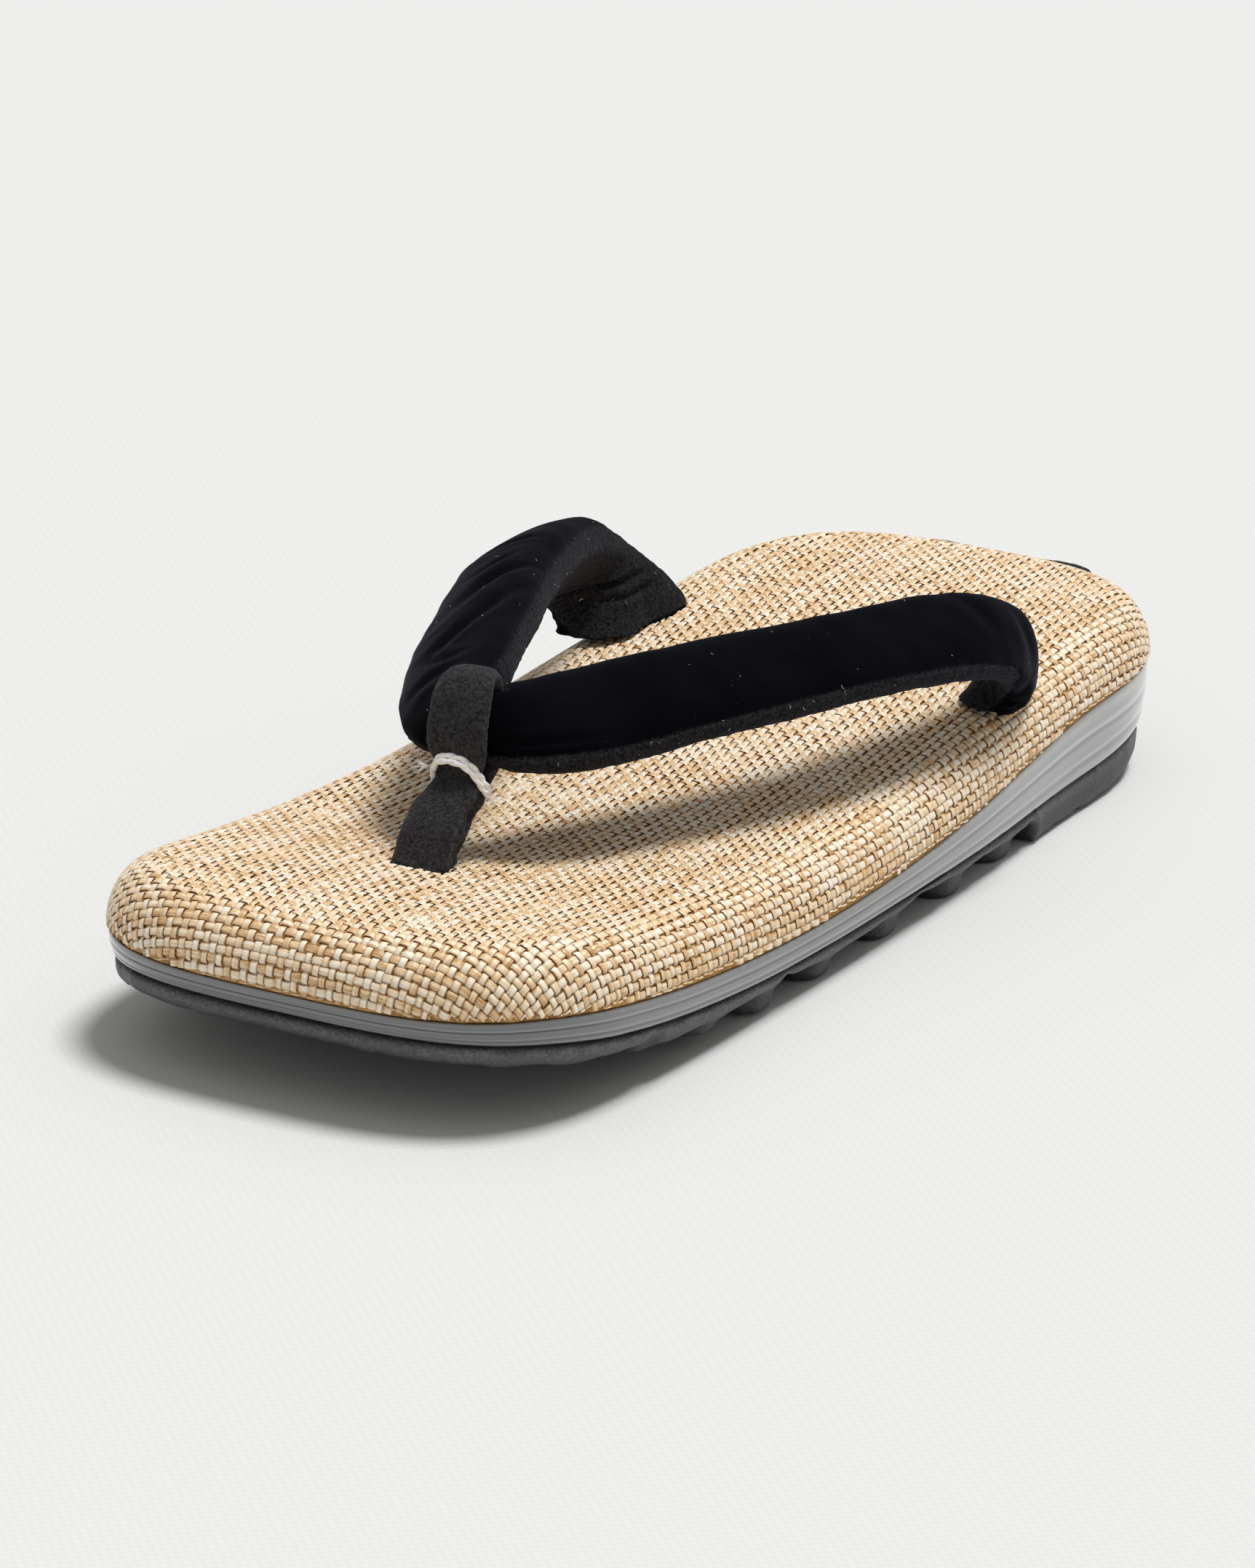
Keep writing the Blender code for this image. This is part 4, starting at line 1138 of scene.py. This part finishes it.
def buildThong():
    form = thongForm
    piece = copyNode("thong", "fleece_thong")
    remesh(piece, form["voxel"], form["smoothing"])
    points, normals = meshPoints(piece), meshNormals(piece)
    high, low = (footbedTop(form["station"]) + above for above in form["raggedFrom"])
    move = waves(points, form["waves"])
    move += softStep(high, low, points[:, 2]) * waves(points, [form["ragged"]])
    moved = points + normals * move[:, None]
    middle, back, rise = (np.array(tieForm[k]) for k in ("middle", "back", "rise"))
    height = (moved - middle) @ rise
    depth = (moved - middle) @ back
    close = np.abs(depth) < form["legs"]
    pinch = np.exp(-((height / form["pinchHeight"]) ** 2)) * close
    base = softStep(-0.006, -0.017, height) * close
    below = softStep(-0.002, -0.006, height) * close
    (acrossPinch, depthPinch), (acrossBase, depthBase) = form["pinch"], form["base"]
    moved[:, 0] *= 1 - acrossPinch * pinch - np.where(moved[:, 0] > 0, acrossBase, 0.0) * base
    fold = np.exp(-((depth / form["foldWidth"]) ** 2)) * below * (np.abs(moved[:, 0]) > 0.003)
    moved[:, 0] -= form["fold"] * (np.sign(moved[:, 0]) * fold + below)
    moved -= back * (depth * (depthPinch * pinch + depthBase * base))[:, None]
    setPoints(piece, moved)
    piece.data.materials.append(fleeceMaterial())
    seat(piece, "thong", "thong")
    print("thong:", len(piece.data.polygons), "faces")
    return piece


tieForm = {
    "middle": (0.0, -0.07609, 0.04136),
    "back": (0.0, 0.785166, -0.619286),
    "rise": (0.0, 0.619286, 0.785166),
    "halfAcross": 0.0049,
    "halfBack": 0.0040,
    "squareness": 2.7,
    "arch": 0.0022,
    "lean": 0.95,
    "threads": (-0.00056, 0.00050),  # places of the two threads, up from the middle
    "plyOffset": 0.00019,
    "plyRadius": 0.00042,
    "pitch": 0.0046,
    "steps": 260,
    "sides": 7,
    "hairs": 9,
    "hairReach": (0.0012, 0.0026),
    "hairRadius": (0.00014, 0.00005),
    "hairSteps": 7,
}


def tieSpine():
    # one turn round the thong: across, back and arch, by even steps
    form = tieForm
    turn = np.linspace(0, 2 * math.pi, 361)
    power = 2 / form["squareness"]
    across = np.sign(np.cos(turn)) * np.abs(np.cos(turn)) ** power * form["halfAcross"]
    behind = np.sign(np.sin(turn)) * np.abs(np.sin(turn)) ** power * form["halfBack"]
    ahead = np.clip(-np.sin(turn), 0, 1)
    arch = form["arch"] * ahead**1.3
    spine = np.stack([across, behind - form["lean"] * arch, arch], 1)
    arc = np.concatenate([[0], np.cumsum(np.linalg.norm(np.diff(spine, axis=0), axis=1))])
    at = np.linspace(0, arc[-1], form["steps"], endpoint=False)
    return np.stack([np.interp(at, arc, spine[:, k]) for k in range(3)], 1), arc[-1]


def tube(points, radii, sides, closed):
    # points and faces of a round tube along a path
    count = len(points)
    around = []
    for i, point in enumerate(points):
        if closed:
            run = points[(i + 1) % count] - points[i - 1]
        else:
            run = points[min(i + 1, count - 1)] - points[max(i - 1, 0)]
        run /= np.linalg.norm(run)
        hint = np.array([0.13, 0.2, 1.0]) if abs(run[2]) < 0.9 else np.array([1.0, 0.1, 0.0])
        first = np.cross(run, hint)
        first /= np.linalg.norm(first)
        second = np.cross(run, first)
        for k in range(sides):
            turn = 2 * math.pi * k / sides
            around.append(point + radii[i] * (first * math.cos(turn) + second * math.sin(turn)))
    faces = []
    for i in range(count if closed else count - 1):
        j = (i + 1) % count
        for k in range(sides):
            m = (k + 1) % sides
            faces.append((i * sides + k, j * sides + k, j * sides + m, i * sides + m))
    if not closed:
        faces.append(tuple(range(sides)))
        faces.append(tuple(range((count - 1) * sides, count * sides))[::-1])
    return around, faces


def threadMaterial():
    made, tree, shader = newMaterial(
        "white twisted thread", Roughness=0.8, Sheen_Weight=0.2, Specular_IOR_Level=0.25
    )
    nap = useGroup(tree, napGroup, {"Place": objectPlace(tree), "Clump": 2200.0, "Grain": 7000.0})
    colour = ramp(tree, nap["Shade"], ((0.0, (0.80, 0.79, 0.77)), (0.6, (0.98, 0.98, 0.97))))
    plug(tree, colour, shader, "Base Color")
    bump(tree, shader, nap["Height"], 0.00015)
    return made


def buildTie():
    form = tieForm
    spine, length = tieSpine()
    middle, back, rise = (np.array(form[k]) for k in ("middle", "back", "rise"))
    run = np.roll(spine, -1, 0) - np.roll(spine, 1, 0)
    out = np.stack([run[:, 1], -run[:, 0]], 1)
    out /= np.linalg.norm(out, axis=1)[:, None]
    turns = round(length / form["pitch"])
    points, faces = [], []

    def add(path, radii, closed):
        made, quads = tube(path, radii, form["sides"], closed)
        faces.extend(tuple(i + len(points) for i in quad) for quad in quads)
        points.extend(made)

    for number, lift in enumerate(form["threads"]):
        for ply in (0, 1):
            angle = 2 * math.pi * (np.arange(form["steps"]) / form["steps"] * turns + ply / 2)
            angle += number * 1.1
            push = form["plyOffset"] * np.cos(angle)
            up = form["plyOffset"] * np.sin(angle) + lift + spine[:, 2]
            path = np.zeros((form["steps"], 3)) + middle
            path[:, 0] += spine[:, 0] + out[:, 0] * push
            path += (spine[:, 1] + out[:, 1] * push)[:, None] * back
            path += up[:, None] * rise
            add(path, [form["plyRadius"]] * form["steps"], True)
    random = np.random.default_rng(5)
    start = middle + back * -0.0046 - np.array([0.0050, 0, 0]) + rise * 0.0006
    for _ in range(form["hairs"]):  # frayed end at the left
        toward = np.array([-1.0, random.uniform(-0.9, 0.3), random.uniform(-0.5, 0.7)])
        reach = random.uniform(*form["hairReach"])
        t = np.linspace(0, 1, form["hairSteps"])[:, None]
        curl = np.array([0, random.uniform(-0.5, 0.5), random.uniform(-0.6, 0.4)]) * t**2
        path = start + (toward * t + curl) * reach
        add(path, np.linspace(*form["hairRadius"], form["hairSteps"]), False)
    piece = meshPiece("tied_thread", points, faces)
    faceOutward(piece)
    piece.data.materials.append(threadMaterial())
    seat(piece, "tie", "tie")
    print("tie:", len(piece.data.polygons), "faces")


tapeForm = {"raise": (0.0003, 0.0034), "lean": 0.0004, "waves": ((0.006, 8, 0.0003),)}


def tapeMaterial():
    made, tree, shader = newMaterial("dark tape", Roughness=0.85, Sheen_Weight=0.2)
    weave = useGroup(tree, clothGroup, {"Place": objectPlace(tree), "Threads": 1500.0})
    colour = ramp(tree, weave["Height"], ((0.0, (0.006, 0.006, 0.007)), (1.0, (0.03, 0.03, 0.032))))
    plug(tree, colour, shader, "Base Color")
    bump(tree, shader, weave["Height"], 0.0002)
    return made


def buildTape():
    # the CAD tab drawn up a little, because the woven cover stands higher than its solid
    piece = copyNode("heel_tab", "heel_tape")
    subdivide(piece, 2)
    points = meshPoints(piece)
    low = points[:, 2].min()
    share = (points[:, 2] - low) / (points[:, 2].max() - low)
    middle, end = tapeForm["raise"]
    outer = (np.abs(points[:, 0]) / np.abs(points[:, 0]).max()) ** 1.5
    points[:, 2] += (middle + (end - middle) * outer) * share
    points[:, 1] += (tapeForm["lean"] + waves(points, tapeForm["waves"])) * share
    setPoints(piece, points)
    piece.data.materials.append(tapeMaterial())
    seat(piece, "heel_tab", "heel_tab")


# Lint that velvet and fleece always carry


lintForm = {
    "count": 100,
    "lowest": 0.036,
    "onVelvet": 0.15,  # chance there, against 1 on fleece
    "length": (0.0002, 0.0009),
    "halfWidth": (0.00003, 0.00007),
}


def buildLint(straps, fleece):
    form = lintForm
    random = np.random.default_rng(21)
    points, normals = meshPoints(straps), meshNormals(straps)
    weight = np.where(normals[:, 2] > -0.3, form["onVelvet"] + fleece, 0.0)
    weight *= points[:, 2] > form["lowest"]
    picked = random.choice(len(points), form["count"], replace=False, p=weight / weight.sum())
    corners, faces = [], []
    for i in picked:
        point, normal = points[i], normals[i]
        along = np.cross(normal, random.normal(size=3))
        along /= np.linalg.norm(along)
        across = np.cross(normal, along)
        reach, width = random.uniform(*form["length"]), random.uniform(*form["halfWidth"])
        first = len(corners)
        for t in (-1, -0.3, 0.4, 1):
            bend = across * (t * t * reach * 0.3) + normal * (0.00012 + 0.0001 * (1 - t * t))
            for side in (-1, 1):
                corners.append(point + along * t * reach / 2 + bend + across * side * width)
        for k in range(3):
            a = first + 2 * k
            faces.append((a, a + 1, a + 3, a + 2))
    piece = meshPiece("lint", corners, faces)
    made, tree, shader = newMaterial("lint", Roughness=0.9)
    tints = (0.35, (0.16, 0.16, 0.17)), (0.65, (0.55, 0.54, 0.52))
    colour = ramp(tree, cloud(tree, objectPlace(tree), 90.0), tints)
    plug(tree, colour, shader, "Base Color")
    piece.data.materials.append(made)
    seat(piece, "upper")


# Floor, light and camera

setForm = {
    "floorSize": 24.0,
    "floor": (0.735, 0.735, 0.727),
    "world": 0.40,
    "key": 2.65,
    "keySoftness": 19.0,
    "keyFrom": (0.20, 0.17, 1.0),
    "camera": (0.60198, -1.07912, 0.43926),
    "direction": (-0.46706, 0.82365, -0.32165),
    "roll": -1.248,
    "lens": 162.9,
}


def buildSet():
    form = setForm
    bpy.ops.mesh.primitive_plane_add(size=form["floorSize"])
    floor = bpy.context.object
    floor.name = "floor"
    made, tree, shader = newMaterial("pale floor cloth", Roughness=0.9, Specular_IOR_Level=0.1)
    place = objectPlace(tree)
    weave = useGroup(tree, clothGroup, {"Place": place, "Threads": 900.0})
    shade = greys(tree, weave["Height"], (0.0, 0.945), (1.0, 1.0))
    plug(tree, blend(tree, 1.0, form["floor"], shade, "MULTIPLY"), shader, "Base Color")
    floor.data.materials.append(made)

    world = bpy.data.worlds.new("studio")
    scene.world = world
    world.use_nodes = True
    sky = world.node_tree.nodes["Background"]
    sky.inputs["Color"].default_value = (1.0, 0.985, 0.965, 1)
    sky.inputs["Strength"].default_value = form["world"]

    key = bpy.data.lights.new("overhead light", "SUN")
    key.color = (0.99, 0.997, 1.0)
    key.energy = form["key"]
    key.angle = math.radians(form["keySoftness"])
    lamp = bpy.data.objects.new("overhead light", key)
    lamp.rotation_mode = "QUATERNION"
    lamp.rotation_quaternion = Vector(form["keyFrom"]).to_track_quat("Z", "Y")
    scene.collection.objects.link(lamp)

    forward = Vector(form["direction"]).normalized()
    right = forward.cross(Vector((0, 0, 1))).normalized()
    up = right.cross(forward)
    roll = math.radians(form["roll"])
    across = right * math.cos(roll) - up * math.sin(roll)
    upward = right * math.sin(roll) + up * math.cos(roll)
    camera = bpy.data.objects.new("camera", bpy.data.cameras.new("camera"))
    camera.matrix_world = Matrix.Translation(form["camera"]) @ Matrix(
        (across, upward, -forward)
    ).transposed().to_4x4()
    camera.data.lens = form["lens"]
    camera.data.clip_end = 60
    scene.collection.objects.link(camera)
    scene.camera = camera
    scene.view_settings.view_transform = "Standard"


def main():
    buildSet()
    buildFootbed(buildThong())
    buildMidsole()
    buildOutsole()
    buildTape()
    straps, fleece = buildStraps()
    buildTie()
    buildLint(straps, fleece)


main()
